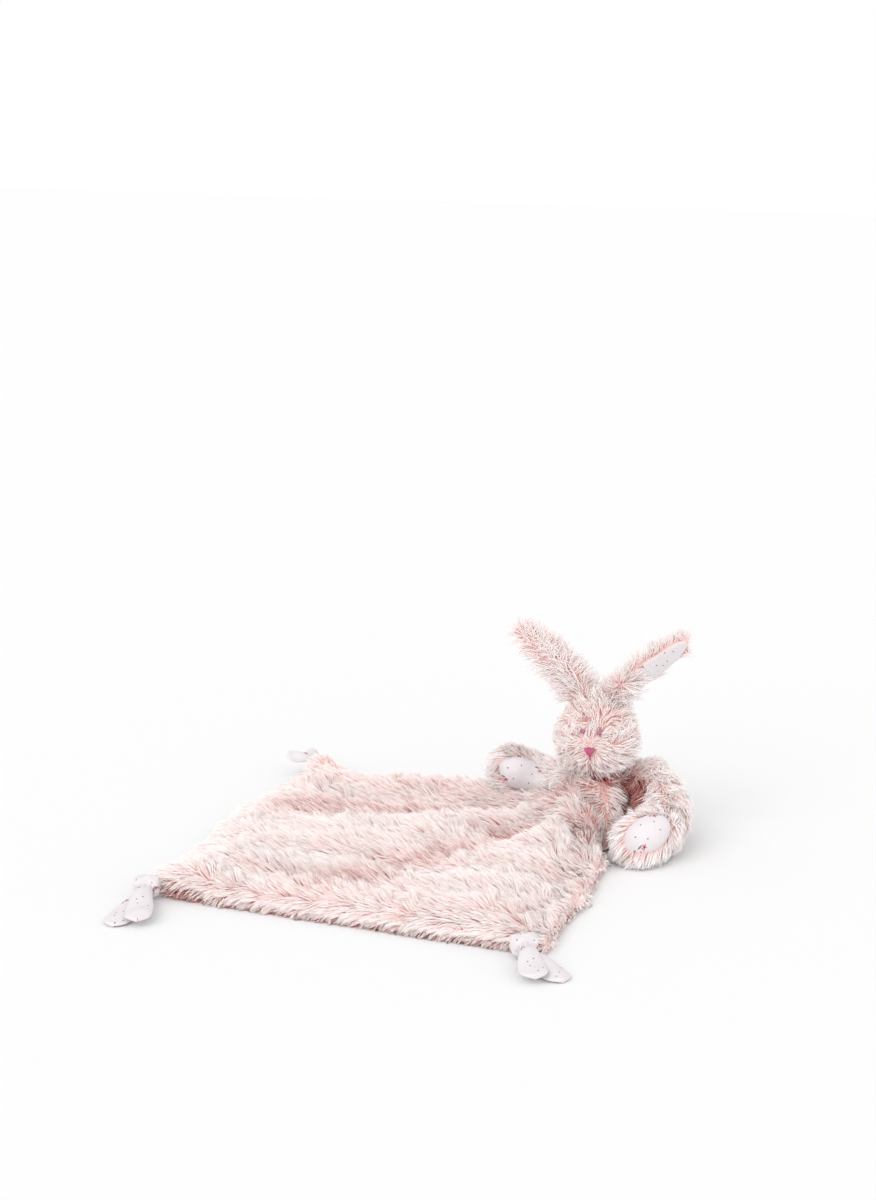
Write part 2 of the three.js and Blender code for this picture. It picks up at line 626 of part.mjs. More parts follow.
// The whole comforter
const comforter = new THREE.Group();
const armCurves = Object.entries(ARMS).map(([name, route]) => [name, armCurve(route)]);
addBody(armCurves.map(([, curve]) => curve.getPoint(0)));
for (const [name, curve] of armCurves) addArm(name, curve, ARMS[name].palm);
const head = addHead();
for (const [name, pose] of Object.entries(EARS)) addEar(head, name, pose);
const tabs = Object.entries(TIES).map(([name, pose]) => addTie(comforter, name, pose));
addBlanket(comforter, tabs);
comforter.add(rabbit);

export default comforter;
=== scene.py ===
"""Looks of the rabbit comforter: plush with real tufts of pile, printed cotton, stitches and light.

Lengths are in millimetres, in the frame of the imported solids, and turn into metres where a mesh is made.
Angles are in degrees. A lie is the way the pile is combed, and a tone runs from 0, deep pink, to 1, pale.
"""
from math import ceil, cos, pi, radians, sin, sqrt, tan

import bmesh
import bpy
import numpy as np
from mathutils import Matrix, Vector, kdtree
from mathutils.bvhtree import BVHTree


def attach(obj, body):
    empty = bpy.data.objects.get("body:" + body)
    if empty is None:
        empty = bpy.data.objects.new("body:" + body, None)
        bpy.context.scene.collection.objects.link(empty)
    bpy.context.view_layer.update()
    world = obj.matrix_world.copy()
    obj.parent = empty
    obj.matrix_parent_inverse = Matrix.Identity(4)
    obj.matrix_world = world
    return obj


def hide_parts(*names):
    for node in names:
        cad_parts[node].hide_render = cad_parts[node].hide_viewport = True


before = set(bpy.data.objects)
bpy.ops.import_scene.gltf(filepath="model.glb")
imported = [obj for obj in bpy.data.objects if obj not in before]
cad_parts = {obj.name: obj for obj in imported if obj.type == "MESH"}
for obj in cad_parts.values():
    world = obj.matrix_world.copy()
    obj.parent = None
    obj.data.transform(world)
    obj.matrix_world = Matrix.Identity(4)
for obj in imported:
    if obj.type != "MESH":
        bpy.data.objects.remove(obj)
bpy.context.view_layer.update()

MM = 0.001
SEED = 7
AHEAD = np.array([1.0, 0.0, 0.0])
FORWARD = np.array([0.0, -1.0, 0.0])
UP = np.array([0.0, 0.0, 1.0])

# Camera, from the photograph
CAMERA_PLACE = (682.0, -1597.0, 604.0)
CAMERA_AZIMUTH = 23.0
CAMERA_PITCH = 13.24
LENS = 75.0
SENSOR = 36.0

# Lamps: where each stands round the object and above it, how wide it looks, and its power
LAMPS = [("key", -12, 38, 50, 1.12), ("fill", 62, 30, 70, 0.45)]
SKY_LIGHT = 0.82
FLOOR_TONE = 0.92
FLOOR_SEEN = 0.89  # tone of the floor itself, just below white so that the shadow stays
FLOOR_HALF = 6000.0

# Blanket, as in the part's source
BLANKET_SIDE = 288.0
LAYER_THICKNESS = 4.5
CLEARANCE = 0.3
BACK_BOW = 21.0
RIGHT_BOW = 16.0
LEFT_BOW = 20.0
BOW_SKEW = 1.5
CORNER_PULL = 12.0
FOLD_COUNT = 8
FOLD_ANGLE = -141.5
FOLD_HEIGHT = 9.0
FOLD_REACH = 95.0
SEAM_REACH = 36.0
RIPPLE_HEIGHT = 3.0
RIPPLE_LENGTH = 46.0
BACK_RISE = 6.0
BACK_START = 0.72
CLIMB_HEIGHT = 10.0
CLIMB_REACH = 19.0
CLIMB_SEAM = 16.0

# What the blanket's cloth adds to the solids: it climbs higher, and its edge and corners rise with it
CLIMB_MORE = 12.0
EDGE_RISE = 8.0
CORNER_RISE = 12.0
CORNER_REACH = 0.07  # share of the side
FRONT_RISE = 9.0
FRONT_REACH = 0.12
FRONT_PLACE = 0.03
UNDER_CLOTH = 2.4  # height of the under backing cloth
CLOTH_STEPS = 73
CLOTH_MARGIN = 0.006
NAP = np.array([-0.95, -0.12, 0.0])  # the way the top pile is combed
RIM_TUFTS = 11000
EDGE_BLEND = 6.0  # over this length the way out turns from one edge to the next at a corner

# Rabbit, as in the part's source
ROOT = "blanket_and_body"
BODY_X = 90.0
BODY_Y = 102.0
HEADING = 23.0
HEAD_HEADING = HEADING - 14.0
NECK_HEIGHT = 50.0
BELLY_RADIUS = 19.5
BODY_SLUMP = 16.0
BODY_SPREAD = 0.6
HEAD_RISE = 29.0
HEAD_WIDTH = 58.0
HEAD_DEPTH = 54.0
HEAD_HEIGHT = 57.0
HEAD_PEAR = 0.13
MUZZLE_LENGTH = 4.0
MUZZLE_DROP = 18.0
EYE_SPACING = 12.4
EYE_RISE = 9.0
NOSE_WIDTH = 7.0
NOSE_HEIGHT = 6.5
NOSE_RISE = -6.5
MOUTH_LENGTH = 8.0
STITCH_RISE = 0.9  # of the nose and the eyes over the head's cover
MUZZLE = np.array([0.0, -30.0, 22.5])  # the pile of the head is combed away from here
BODY_SEAM = 5.0  # where the pile of the chest parts
HOLLOW = np.array([25.0, -28.0, 24.0])  # middle of the space between the body and the left arm, where the pile gets painted shade

# Ears; each has a side, a rise, a lean, a roll and a sway of its tip
EAR_LENGTH = 69.0
EAR_WIDTH = 22.0
EAR_WIDEST = 32.0
EAR_ROOT_RADIUS = 6.0
EAR_ROOT_WIDTH = 15.0
EAR_BEND = 5.0
EAR_SIDE = 24.0
EAR_PILE_INSET = 1.6
EAR_FRINGE = 5.0  # how far the pile of an ear's root runs onto the upper half of its lining
LINING_RIM = 1.6
LINING_START = 17.0
LINING_ROOT = 10.0  # where the lining's cloth starts, under the pile
EARS = {"ear_left": (1, 37, 0, 38, 0), "ear_right": (-1, 48, 27, 155, -15)}

# Arms; each has a side, a place of the shoulder, an upward turn of the palm and stops along the arm
SHOULDER_X = 18.3546
SHOULDER_HEIGHT = 36.0
PAW_RADIUS = 15.0
PALM_SETBACK = 19.0
PAD_LENGTH = 38.0
PAD_WIDTH = 26.0
PAD_RINGS = 9
PAD_COLUMNS = 40
PAD_DEPTH = 4.0
LEFT_STOPS = [[14, 9, 27], [27, -3, 22], [32, -22, 14], [28, -44, 8], [15, -61, 3], [-4, -71, -4]]
RIGHT_STOPS = [[11, 31, 18], [25, 40, 18], [40, 41, 23], [54, 37, 31]]
ARMS = {"left": (1, 6, 34, LEFT_STOPS), "right": (-1, 10, 10, RIGHT_STOPS)}

# Ties; each has a corner, an inset, the ways its tab and its tails point, a lift, a spread, and tail sizes
KNOT_RADIUS = 8.0
KNOT_WIDTH = 19.0
KNOT_REACH = 12.0
KNOT_HEIGHT = 9.5
KNOT_ROWS = 26
KNOT_COLUMNS = 48
TAIL_ROOT_WIDTH = 10.0
TAIL_THICKNESS = 3.4
TAIL_PUFF = 2.0
TAIL_FOLD = 0.9
TAIL_SLOPE = 0.7
TAIL_STACK = 4.6
TAIL_ROWS = 34
TAIL_COLUMNS = 28
TAB_WIDTH = 8.0
TAB_INSERT = 8.0
TAB_THICKNESS = 2.0
TIES = {
    "front_left": ((-1, -1), 0, -130, -76, 0, 9, 56, 19),
    "front_right": ((1, -1), 10, -100, -50, 0, -12, 46, 19),
    "back_left": ((-1, 1), -CORNER_PULL, 140, 160, 32, 40, 24, 12),
}

# Pile
PILE_SINK = 3.8  # backing cloth below the solids, which are drawn halfway up the pile
MAX_TUFTS = 12000  # tufts in one piece
LOW_TUFT_SHADE = 0.4  # painted shade: how much deeper a tuft is that lies flat among upright ones
SHADE_TONE = 0.12  # below this tone a strand takes on painted shade colours, those of a crease
CREASE_SHADE_TONE = 0.04  # tone of the strands in the blanket's creases, a painted shade
FLOOR_GAP = 0.3
RING_PLACES = (0.0, 0.42, 0.76)
RING_WIDTHS = (1.0, 0.9, 0.55)
SIDES = 3  # of a tuft

# Print of the cotton, in centimetres
PRINT_CELLS = 0.62  # blossoms across a centimetre
BLOSSOM_RADIUS = 0.2
PETALS = 5.0
DOT_CELLS = 1.15
DOT_RADIUS = 0.055


def unit(vectors):
    return vectors / np.maximum(np.linalg.norm(vectors, axis=-1, keepdims=True), 1e-9)


def smooth(value, low, high):
    share = np.clip((value - low) / (high - low), 0, 1)
    return share * share * (3 - 2 * share)


def eased(start, end, count):
    """Places from start to end that lie closer together at both ends."""
    return start + (end - start) * (0.5 - 0.5 * np.cos(np.linspace(0, pi, count)))


def circle(count):
    return np.arange(count) * 2 * pi / count


def flat_grid(rows, columns):
    """Row and column values of every point of a grid, row by row."""
    return [grid.ravel() for grid in np.meshgrid(rows, columns, indexing="ij")]


def kept(keep, *arrays):
    return [array[keep] for array in arrays]


def linear(red, green, blue):
    """A colour as seen on screen, from 0 to 255, as light."""
    share = np.array([red, green, blue]) / 255
    light = np.where(share <= 0.04045, share / 12.92, ((share + 0.055) / 1.055) ** 2.4)
    return (*light.tolist(), 1.0)


def turned(points, degrees):
    """Points turned round the upright axis."""
    angle = radians(degrees)
    turn = np.array([[cos(angle), sin(angle), 0], [-sin(angle), cos(angle), 0], [0, 0, 1]])
    return points @ turn


def from_rabbit(points):
    return turned(points, HEADING) + [BODY_X, BODY_Y, 0]


def to_rabbit(points):
    return turned(points - [BODY_X, BODY_Y, 0], -HEADING)


def from_head(points):
    return turned(points, HEAD_HEADING) + [BODY_X, BODY_Y, NECK_HEIGHT]


def to_head(points):
    return turned(points - [BODY_X, BODY_Y, NECK_HEIGHT], -HEAD_HEADING)


def drift(points, scale, seed):
    """A smooth wandering vector at each point, about 1 long."""
    rng = np.random.default_rng(seed)
    total = np.zeros_like(points)
    for _ in range(5):
        wave = unit(rng.normal(size=3)) * 2 * pi / scale * rng.uniform(0.6, 1.6)
        total += rng.normal(size=3) * np.sin(points @ wave + rng.uniform(0, 6.28))[:, None]
    return total / 2.2


# Meshes

def add_object(data):
    """An object for a mesh, a lamp or a camera, of the same name."""
    piece = bpy.data.objects.new(data.name, data)
    bpy.context.scene.collection.objects.link(piece)
    return piece


def add_mesh(name, points, faces, material, maps=None, rounded=True):
    """A mesh object from points in millimetres and a list of arrays of triangles or quads."""
    corners = np.hstack([group.ravel() for group in faces]).astype(np.int32)
    sizes = np.hstack([np.full(len(group), group.shape[1]) for group in faces])
    starts = (np.cumsum(sizes) - sizes).astype(np.int32)
    mesh = bpy.data.meshes.new(name)
    mesh.vertices.add(len(points))
    mesh.vertices.foreach_set("co", (points * MM).astype(np.float32).ravel())
    mesh.loops.add(len(corners))
    mesh.loops.foreach_set("vertex_index", corners)
    mesh.polygons.add(len(starts))
    mesh.polygons.foreach_set("loop_start", starts)
    mesh.update(calc_edges=True)
    for layer, places in (maps or {}).items():
        chart = mesh.uv_layers.new(name=layer)
        chart.data.foreach_set("uv", places[corners].astype(np.float32).ravel())
    if rounded:
        mesh.shade_smooth()
    else:
        mesh.shade_flat()
    mesh.materials.append(material)
    return add_object(mesh)


def placed(piece, body, slot, *nodes):
    """The piece, riding on its body and standing for some solids."""
    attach(piece, body)
    if nodes:
        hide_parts(*nodes)
    return piece


def grid_faces(rows, columns, loop=False):
    """Quads over a grid of points, row by row; loop joins the last column to the first."""
    wide = columns if loop else columns - 1
    row, column = flat_grid(np.arange(rows - 1), np.arange(wide))
    here = row * columns + column
    after = row * columns + (column + 1) % columns
    return np.stack([here, after, after + columns, here + columns], 1)


def capped(rows, columns):
    """Faces of a tube of points whose two ends close on one point each, which follow the rings."""
    ring = np.arange(columns)
    after = (ring + 1) % columns
    end = np.full(columns, rows * columns)
    top = (rows - 1) * columns
    low = np.stack([end, after, ring], 1)
    high = np.stack([end + 1, top + ring, top + after], 1)
    return [grid_faces(rows, columns, True), low, high]


def fetched(items, what, kind):
    values = np.empty(len(items) * 3, kind)
    items.foreach_get(what, values)
    return values.reshape(-1, 3)


def measured(piece):
    """Points, triangles and point normals of a piece, in millimetres."""
    mesh = piece.data
    mesh.calc_loop_triangles()
    points = fetched(mesh.vertices, "co", float) / MM
    normals = fetched(mesh.vertex_normals, "vector", np.float32).astype(float)
    return points, fetched(mesh.loop_triangles, "vertices", np.int32), normals


def stuffed_skin(name, nodes, material, inset, voxel):
    """One closed soft form round some solids, drawn in by inset millimetres."""
    solids = bmesh.new()
    for node in nodes:
        solids.from_mesh(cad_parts[node].data)
    mesh = bpy.data.meshes.new(name)
    solids.to_mesh(mesh)
    solids.free()
    piece = add_object(mesh)
    remesh = piece.modifiers.new("Remesh", "REMESH")
    remesh.mode = "VOXEL"
    remesh.voxel_size = voxel * MM
    even = piece.modifiers.new("Smooth", "SMOOTH")
    even.iterations = 8
    shrink = piece.modifiers.new("Displace", "DISPLACE")
    shrink.mid_level = 0
    shrink.strength = -inset * MM
    bpy.context.view_layer.update()
    shaped = piece.evaluated_get(bpy.context.evaluated_depsgraph_get())
    piece.data = bpy.data.meshes.new_from_object(shaped)
    piece.modifiers.clear()
    bpy.data.meshes.remove(mesh)
    piece.data.name = name
    piece.data.materials.clear()
    piece.data.materials.append(material)
    piece.data.shade_smooth()
    return piece


# Materials

class Nodes:
    """Short ways to add nodes to a tree. Inputs are given a source or a plain value."""

    def __init__(self, tree):
        self.tree = tree

    def node(self, kind, inputs=(), **settings):
        node = self.tree.nodes.new(kind)
        for name, value in settings.items():
            setattr(node, name, value)
        for socket, source in dict(inputs).items():
            if isinstance(source, bpy.types.NodeSocket):
                self.tree.links.new(source, node.inputs[socket])
            else:
                node.inputs[socket].default_value = source
        return node

    def math(self, operation, *values):
        return self.node("ShaderNodeMath", enumerate(values), operation=operation).outputs[0]

    def product(self, first, second):
        return self.math("MULTIPLY", first, second)

    def parts(self, vector):
        return self.node("ShaderNodeSeparateXYZ", {"Vector": vector}).outputs

    def mix(self, share, first, second):
        """A colour between two, which a mix node has at its inputs 6 and 7."""
        return self.node("ShaderNodeMix", {0: share, 6: first, 7: second}, data_type="RGBA").outputs[2]

    def noise(self, place, scale, detail=2.0):
        inputs = {"Vector": place, "Scale": scale, "Detail": detail}
        return self.node("ShaderNodeTexNoise", inputs).outputs["Fac"]

    def ramp(self, share, stops):
        node = self.node("ShaderNodeValToRGB", {"Fac": share})
        ramp = node.color_ramp
        while len(ramp.elements) < len(stops):
            ramp.elements.new(0.5)
        for element, (place, colour) in zip(ramp.elements, stops):
            element.position = place
            element.color = colour
        return node.outputs["Color"]


class Shader(Nodes):
    """The nodes of a new material with one principled shader."""

    def __init__(self, name, **values):
        self.material = bpy.data.materials.new(name)
        self.material.use_nodes = True
        super().__init__(self.material.node_tree)
        self.surface = self.tree.nodes["Principled BSDF"]
        for socket, value in values.items():
            self.surface.inputs[socket.replace("_", " ")].default_value = value

    def colour(self, source):
        self.tree.links.new(source, self.surface.inputs["Base Color"])

    def bump(self, height, strength, distance):
        node = self.node("ShaderNodeBump", {"Height": height, "Strength": strength, "Distance": distance})
        self.tree.links.new(node.outputs["Normal"], self.surface.inputs["Normal"])


def colours(*stops):
    return [(place, linear(*colour)) for place, *colour in stops]


# Colours from a strand's root to its tip, for the palest strands, the deeper ones, and the painted shade of
# those in a crease, a hollow or the front fringe
PALE_STRAND = colours((0, 253, 224, 219), (0.35, 254, 242, 240), (0.75, 254, 250, 249), (1, 254, 252, 251))
DEEP_STRAND = colours((0, 240, 170, 163), (0.35, 250, 209, 203), (0.75, 253, 234, 230), (1, 254, 244, 242))
SHADE_STRAND = colours((0, 156, 72, 71), (0.5, 190, 108, 103), (1, 216, 150, 142))
BACKING_TONES = colours((0.3, 246, 203, 198), (0.7, 252, 222, 218))
COTTON_WHITE = linear(230, 224, 226)
DOT_GREY = linear(128, 120, 126)
LEAF_GREEN = linear(134, 132, 96)
BLOSSOM_PINK = linear(206, 112, 140)
HEART_RED = linear(150, 62, 92)


def pile_material():
    """Pile; its map gives a strand's tone and the place from its root to its tip."""
    shader = Shader("pile", Roughness=0.85, Specular_IOR_Level=0.1)
    place = shader.node("ShaderNodeUVMap", uv_map="Strand").outputs["UV"]
    tone, up, _ = shader.parts(place)
    dark, deep, pale = (shader.ramp(up, stops) for stops in (SHADE_STRAND, DEEP_STRAND, PALE_STRAND))
    # Strands of the lowest tones turn to the painted shade colours of creases and hollows
    shade = shader.node("ShaderNodeMapRange", {"Value": tone, "From Max": SHADE_TONE}).outputs["Result"]
    shader.colour(shader.mix(shade, dark, shader.mix(tone, deep, pale)))
    return shader.material


def backing_material():
    shader = Shader("backing", Roughness=0.95, Specular_IOR_Level=0.1)
    place = shader.node("ShaderNodeTexCoord").outputs["Object"]
    shader.colour(shader.ramp(shader.noise(place, 220.0, detail=4.0), BACKING_TONES))
    shader.bump(shader.noise(place, 900.0), strength=0.5, distance=0.0006)
    return shader.material


def cotton_material():
    """White cotton with a scattered print of small blossoms, leaves and dots; its map is in centimetres."""
    shader = Shader("printed_cotton", Roughness=0.85, Specular_IOR_Level=0.2)
    place = shader.node("ShaderNodeUVMap", uv_map="Cloth").outputs["UV"]
    product = shader.product

    def spots(cells, randomness, bare):
        """Offsets from the nearest spot, the distance to it, and 1 where it is printed. bare is a share."""
        inputs = {"Vector": place, "Scale": cells, "Randomness": randomness}
        cell = shader.node("ShaderNodeTexVoronoi", inputs, voronoi_dimensions="2D").outputs
        inputs = {0: place, 1: cell["Position"]}
        away = shader.node("ShaderNodeVectorMath", inputs, operation="SUBTRACT").outputs[0]
        reach = shader.node("ShaderNodeVectorMath", {0: away}, operation="LENGTH").outputs["Value"]
        printed = shader.math("GREATER_THAN", shader.parts(cell["Color"])["X"], bare)
        return *shader.parts(away)[:2], reach, printed

    def within(value, limit):
        return shader.math("LESS_THAN", value, limit)

    right, up, reach, printed = spots(PRINT_CELLS, randomness=0.8, bare=0.45)
    angle = product(shader.math("ARCTAN2", up, right), PETALS)
    petals = shader.math("MULTIPLY_ADD", shader.math("COSINE", angle), 0.3, 0.7)
    blossom = product(within(reach, product(petals, BLOSSOM_RADIUS)), printed)
    heart = product(within(reach, BLOSSOM_RADIUS * 0.3), printed)

    leaf = 0.0
    for value, shift, half in ((right, -1.25, 0.7), (up, 0.8, 0.3)):
        moved = shader.math("ADD", value, shift * BLOSSOM_RADIUS)
        share = shader.math("DIVIDE", moved, half * BLOSSOM_RADIUS)
        leaf = shader.math("MULTIPLY_ADD", share, share, leaf)
    leaf = product(within(leaf, 1.0), printed)

    _, _, reach, printed = spots(DOT_CELLS, randomness=0.9, bare=0.4)
    dot = product(within(reach, DOT_RADIUS), printed)

    colour = shader.mix(dot, COTTON_WHITE, DOT_GREY)
    colour = shader.mix(leaf, colour, LEAF_GREEN)
    colour = shader.mix(blossom, colour, BLOSSOM_PINK)
    shader.colour(shader.mix(heart, colour, HEART_RED))

    weave = [shader.node("ShaderNodeTexWave", {"Vector": place, "Scale": 9.0}, bands_direction=way)
             for way in ("X", "Y")]
    threads = product(*(node.outputs["Fac"] for node in weave))
    relief = shader.math("ADD", product(threads, 0.12), shader.noise(place, 2.2, detail=3.0))
    shader.bump(relief, strength=0.35, distance=0.001)
    return shader.material


def thread_material(name, colour):
    shader = Shader(name, Roughness=0.45, Sheen_Weight=0.2)
    fleck = shader.noise(shader.node("ShaderNodeTexCoord").outputs["Object"], 1800.0)
    dark = tuple(0.7 * part for part in colour[:3]) + (1.0,)
    shader.colour(shader.ramp(fleck, [(0.3, dark), (0.65, colour)]))
    shader.bump(fleck, strength=0.3, distance=0.0003)
    return shader.material


PILE = pile_material()
BACKING = backing_material()
COTTON = cotton_material()
NOSE_THREAD = thread_material("nose_thread", linear(196, 86, 126))
EYE_THREAD = thread_material("eye_thread", linear(190, 122, 142))


# Pile: each tuft is a closed spike of three sides that starts upright and bends to the lie of the pile

def scatter(points, triangles, normals, spacing, rng):
    """Even random places on a mesh, about spacing apart, with their normals."""
    corners = points[triangles]
    first_side, second_side = corners[:, 1] - corners[:, 0], corners[:, 2] - corners[:, 0]
    areas = np.linalg.norm(np.cross(first_side, second_side), axis=1) / 2
    count = int(6 * areas.sum() / spacing ** 2)
    chosen = rng.choice(len(triangles), count, p=areas / areas.sum())
    share = rng.random((count, 2))
    over = share.sum(1) > 1
    share[over] = 1 - share[over]
    weights = np.stack([1 - share.sum(1), share[:, 0], share[:, 1]], 1)
    places = (corners[chosen] * weights[:, :, None]).sum(1)
    facing = unit((normals[triangles[chosen]] * weights[:, :, None]).sum(1))
    cells = np.floor(places / (spacing * 1.25)).astype(np.int64)
    keys = cells @ np.array([1, 100003, 10000600009])
    _, first = np.unique(keys, return_index=True)
    return kept(np.sort(first), places, facing)


def nearest(places, centres):
    """Index of the centre nearest to each place."""
    tree = kdtree.KDTree(len(centres))
    for i, centre in enumerate(centres):
        tree.insert(centre, i)
    tree.balance()
    return np.array([tree.find(place)[1] for place in places])


def tuft_faces():
    """Triangles of one tuft: its foot, the bands between its rings, and its tip."""
    steps = len(RING_PLACES)
    faces = [(0, 2, 1)]
    for ring in range(steps - 1):
        for corner in range(SIDES):
            a, b = ring * SIDES + corner, ring * SIDES + (corner + 1) % SIDES
            faces += [(a, b, b + SIDES), (a, b + SIDES, a + SIDES)]
    top = (steps - 1) * SIDES
    faces += [(top + corner, top + (corner + 1) % SIDES, steps * SIDES) for corner in range(SIDES)]
    return np.array(faces)


def tuft_chart(tone, stand, phase, under_tone):
    """Map of the tufts: the tone of each edge, and the place from root to tip. Painted shade makes a tuft
    that lies flat among upright ones deeper, so an upright one is paler, and deepens the edges towards the
    cloth.
    """
    shaded = tone < SHADE_TONE
    # Painted shade: outside the creases, a tuft that lies flatter than the rest is deeper
    tone = np.where(shaded, tone, np.maximum(tone + LOW_TUFT_SHADE * (stand - stand.mean()), SHADE_TONE))
    # Painted shade: the edges of a tuft that face the cloth are deeper
    under = 0.5 + 0.5 * np.sin(phase[:, None] + circle(SIDES))
    lowest = np.minimum(tone, SHADE_TONE)[:, None]
    tip = np.clip(tone, 0, 0.98)[:, None]
    edges = np.maximum(tip - under_tone * under, lowest)
    up = np.array([place for place in RING_PLACES for _ in range(SIDES)] + [1.0])
    chart = np.empty((len(tone), len(up), 2))
    chart[:, :, 0] = np.hstack([np.tile(edges, (1, len(RING_PLACES))), tip]) + 0.01
    chart[:, :, 1] = up * 0.98 + 0.01
    return chart


def tufts(name, body, roots, normals, lie, tone, rng, length, width, rise=38.0, start=68.0, clump=5.0,
          pull=0.6, stray=0.25, droop=0.0, under_tone=0.45):
    """Tufts of pile at the roots, which leave the cloth at the angle start and end at the angle rise.

    clump is the distance between the tips that others are pulled to, stray how much the lie varies, and
    under_tone how much painted shade deepens a tuft's edges on the side towards the cloth.
    """
    tone = np.clip(tone, 0, 1)
    count = len(roots)
    centres = np.sort(rng.choice(count, max(1, int(count * min(1.0, (1.5 / clump) ** 2))), replace=False))
    group = centres[nearest(roots, roots[centres])]
    spread = rng.normal(size=(count, 3)) * stray
    flow = lie + spread * 0.45 + spread[group]
    flow = unit(flow - normals * (flow * normals).sum(1, keepdims=True))
    lift = np.radians(rise + rng.normal(size=count) * 5 + (rng.normal(size=count) * 8)[group])[:, None]
    first = np.radians(start + rng.normal(size=count) * 8)[:, None]
    begin = flow * np.cos(first) + normals * np.sin(first)
    end = flow * np.cos(lift) + normals * np.sin(lift)
    size = (length * rng.uniform(0.82, 1.12, count) * rng.uniform(0.88, 1.12, count)[group])[:, None]
    tips = roots + size * (0.4 * begin + 0.6 * end)
    tips += pull * (tips[group] - tips) * rng.uniform(0.5, 1.0, count)[:, None]
    tips[:, 2] -= droop * size[:, 0]
    middle = roots + 0.5 * size * begin
    middle[:, 2] -= 0.25 * droop * size[:, 0]

    rings = []
    phase = -pi / 2 + rng.normal(size=count) * 0.35
    for place, share in zip(RING_PLACES, RING_WIDTHS):
        centre = roots * (1 - place) ** 2 + middle * 2 * place * (1 - place) + tips * place ** 2
        along = unit((middle - roots) * (1 - place) + (tips - middle) * place)
        side = unit(np.cross(along, normals + 0.01))
        towards = np.cross(along, side)
        for turn in circle(SIDES):
            angle = (phase + turn)[:, None]
            rings.append(centre + width * share / 2 * (np.cos(angle) * side + np.sin(angle) * towards))
    points = np.stack(rings + [tips], 1)
    points[:, :, 2] = np.maximum(points[:, :, 2], FLOOR_GAP)
    stand = ((tips - roots) * normals).sum(1) / size[:, 0]
    chart = tuft_chart(tone, stand, phase, under_tone)

    pieces = []
    parts = max(1, ceil(count / MAX_TUFTS))
    order = np.argsort(roots[:, 0], kind="stable")
    for part, members in enumerate(np.array_split(order, parts)):
        offsets = (np.arange(len(members)) * points.shape[1])[:, None, None]
        faces = (tuft_faces()[None] + offsets).reshape(-1, 3)
        places = chart[members].reshape(-1, 2)
        label = f"{name}_{part + 1}" if parts > 1 else name
        piece = add_mesh(label, points[members].reshape(-1, 3), [faces], PILE,
                         {"OFBake": places, "Strand": places}, rounded=False)
        pieces.append(placed(piece, body, "plush"))
    return pieces


# Blanket; along and across are shares of its side, from the front left corner

def laid_point(along, across):
    """Place on the floor of a point of the blanket."""
    half = BLANKET_SIDE / 2
    front = -half + along * BLANKET_SIDE
    side = -half + across * BLANKET_SIDE
    back = -half + along * (BODY_X + half)
    right = -half + across * (BODY_Y + half)
    bow_across = np.sin(pi * across ** BOW_SKEW)
    leftward = LEFT_BOW * bow_across + CORNER_PULL * across ** 2
    x = front + (back - front) * across + along * RIGHT_BOW * bow_across - (1 - along) * leftward
    y = side + (right - side) * along + across * BACK_BOW * np.sin(pi * along ** BOW_SKEW)
    return x, y


def valley(x, y):
    """How near a point is to the bottom of a fold, from 0 to 1."""
    angle = np.arctan2(y - BODY_Y, x - BODY_X) - radians(FOLD_ANGLE)
    return 0.5 - 0.5 * np.cos(FOLD_COUNT * angle)


def body_distance(x, y):
    """About how far a point on the floor is from the foot of the body."""
    local = to_rabbit(np.stack([x, y, np.zeros_like(x)], -1))
    return np.hypot(local[..., 0], (local[..., 1] + BODY_SLUMP) / (1 + BODY_SPREAD)) - BELLY_RADIUS


def cloth_height(along, across):
    """Height of the top backing cloth."""
    x, y = laid_point(along, across)
    reach = np.hypot(x - BODY_X, y - BODY_Y) / FOLD_REACH
    inside = BLANKET_SIDE * np.minimum(np.minimum(along, 1 - along), np.minimum(across, 1 - across))
    fold = FOLD_HEIGHT * (1 - valley(x, y)) * reach * np.exp(1 - reach)
    turn = 2 * pi / RIPPLE_LENGTH
    ripple = RIPPLE_HEIGHT * (0.5 + 0.5 * np.sin(turn * y + 1.2 * np.sin(turn * x / 2.6)))
    towards = smooth(across, BACK_START, 1) * smooth(along, 0, BACK_START)
    waves = (fold + ripple + BACK_RISE * towards) * smooth(inside, 0, SEAM_REACH)
    near = np.exp(-np.maximum(body_distance(x, y), 0) / CLIMB_REACH)
    right_gap = BLANKET_SIDE * (1 - along)
    climb = near * (CLIMB_HEIGHT * smooth(inside, 0, CLIMB_SEAM) + CLIMB_MORE * smooth(right_gap, -4, 16))
    edge = EDGE_RISE * towards * (1 - smooth(inside, 0, SEAM_REACH))
    back_corner = CORNER_RISE * np.exp(-(along ** 2 + (1 - across) ** 2) / CORNER_REACH ** 2)
    front_corner = FRONT_RISE * np.exp(-(along ** 2 + (across - FRONT_PLACE) ** 2) / FRONT_REACH ** 2)
    flat = 2 * LAYER_THICKNESS + CLEARANCE - PILE_SINK
    return flat + waves + climb + edge + back_corner + front_corner


def cloth_point(along, across):
    return np.stack([*laid_point(along, across), cloth_height(along, across)], 1)


def cloth_normals(along, across, step=0.004):
    """Normals of the top backing cloth, from two short steps over it."""
    here = cloth_point(along, across)
    first = cloth_point(np.clip(along + step, 0, 1), across) - here
    second = cloth_point(along, np.clip(across + step, 0, 1)) - here
    return unit(np.cross(first, second))


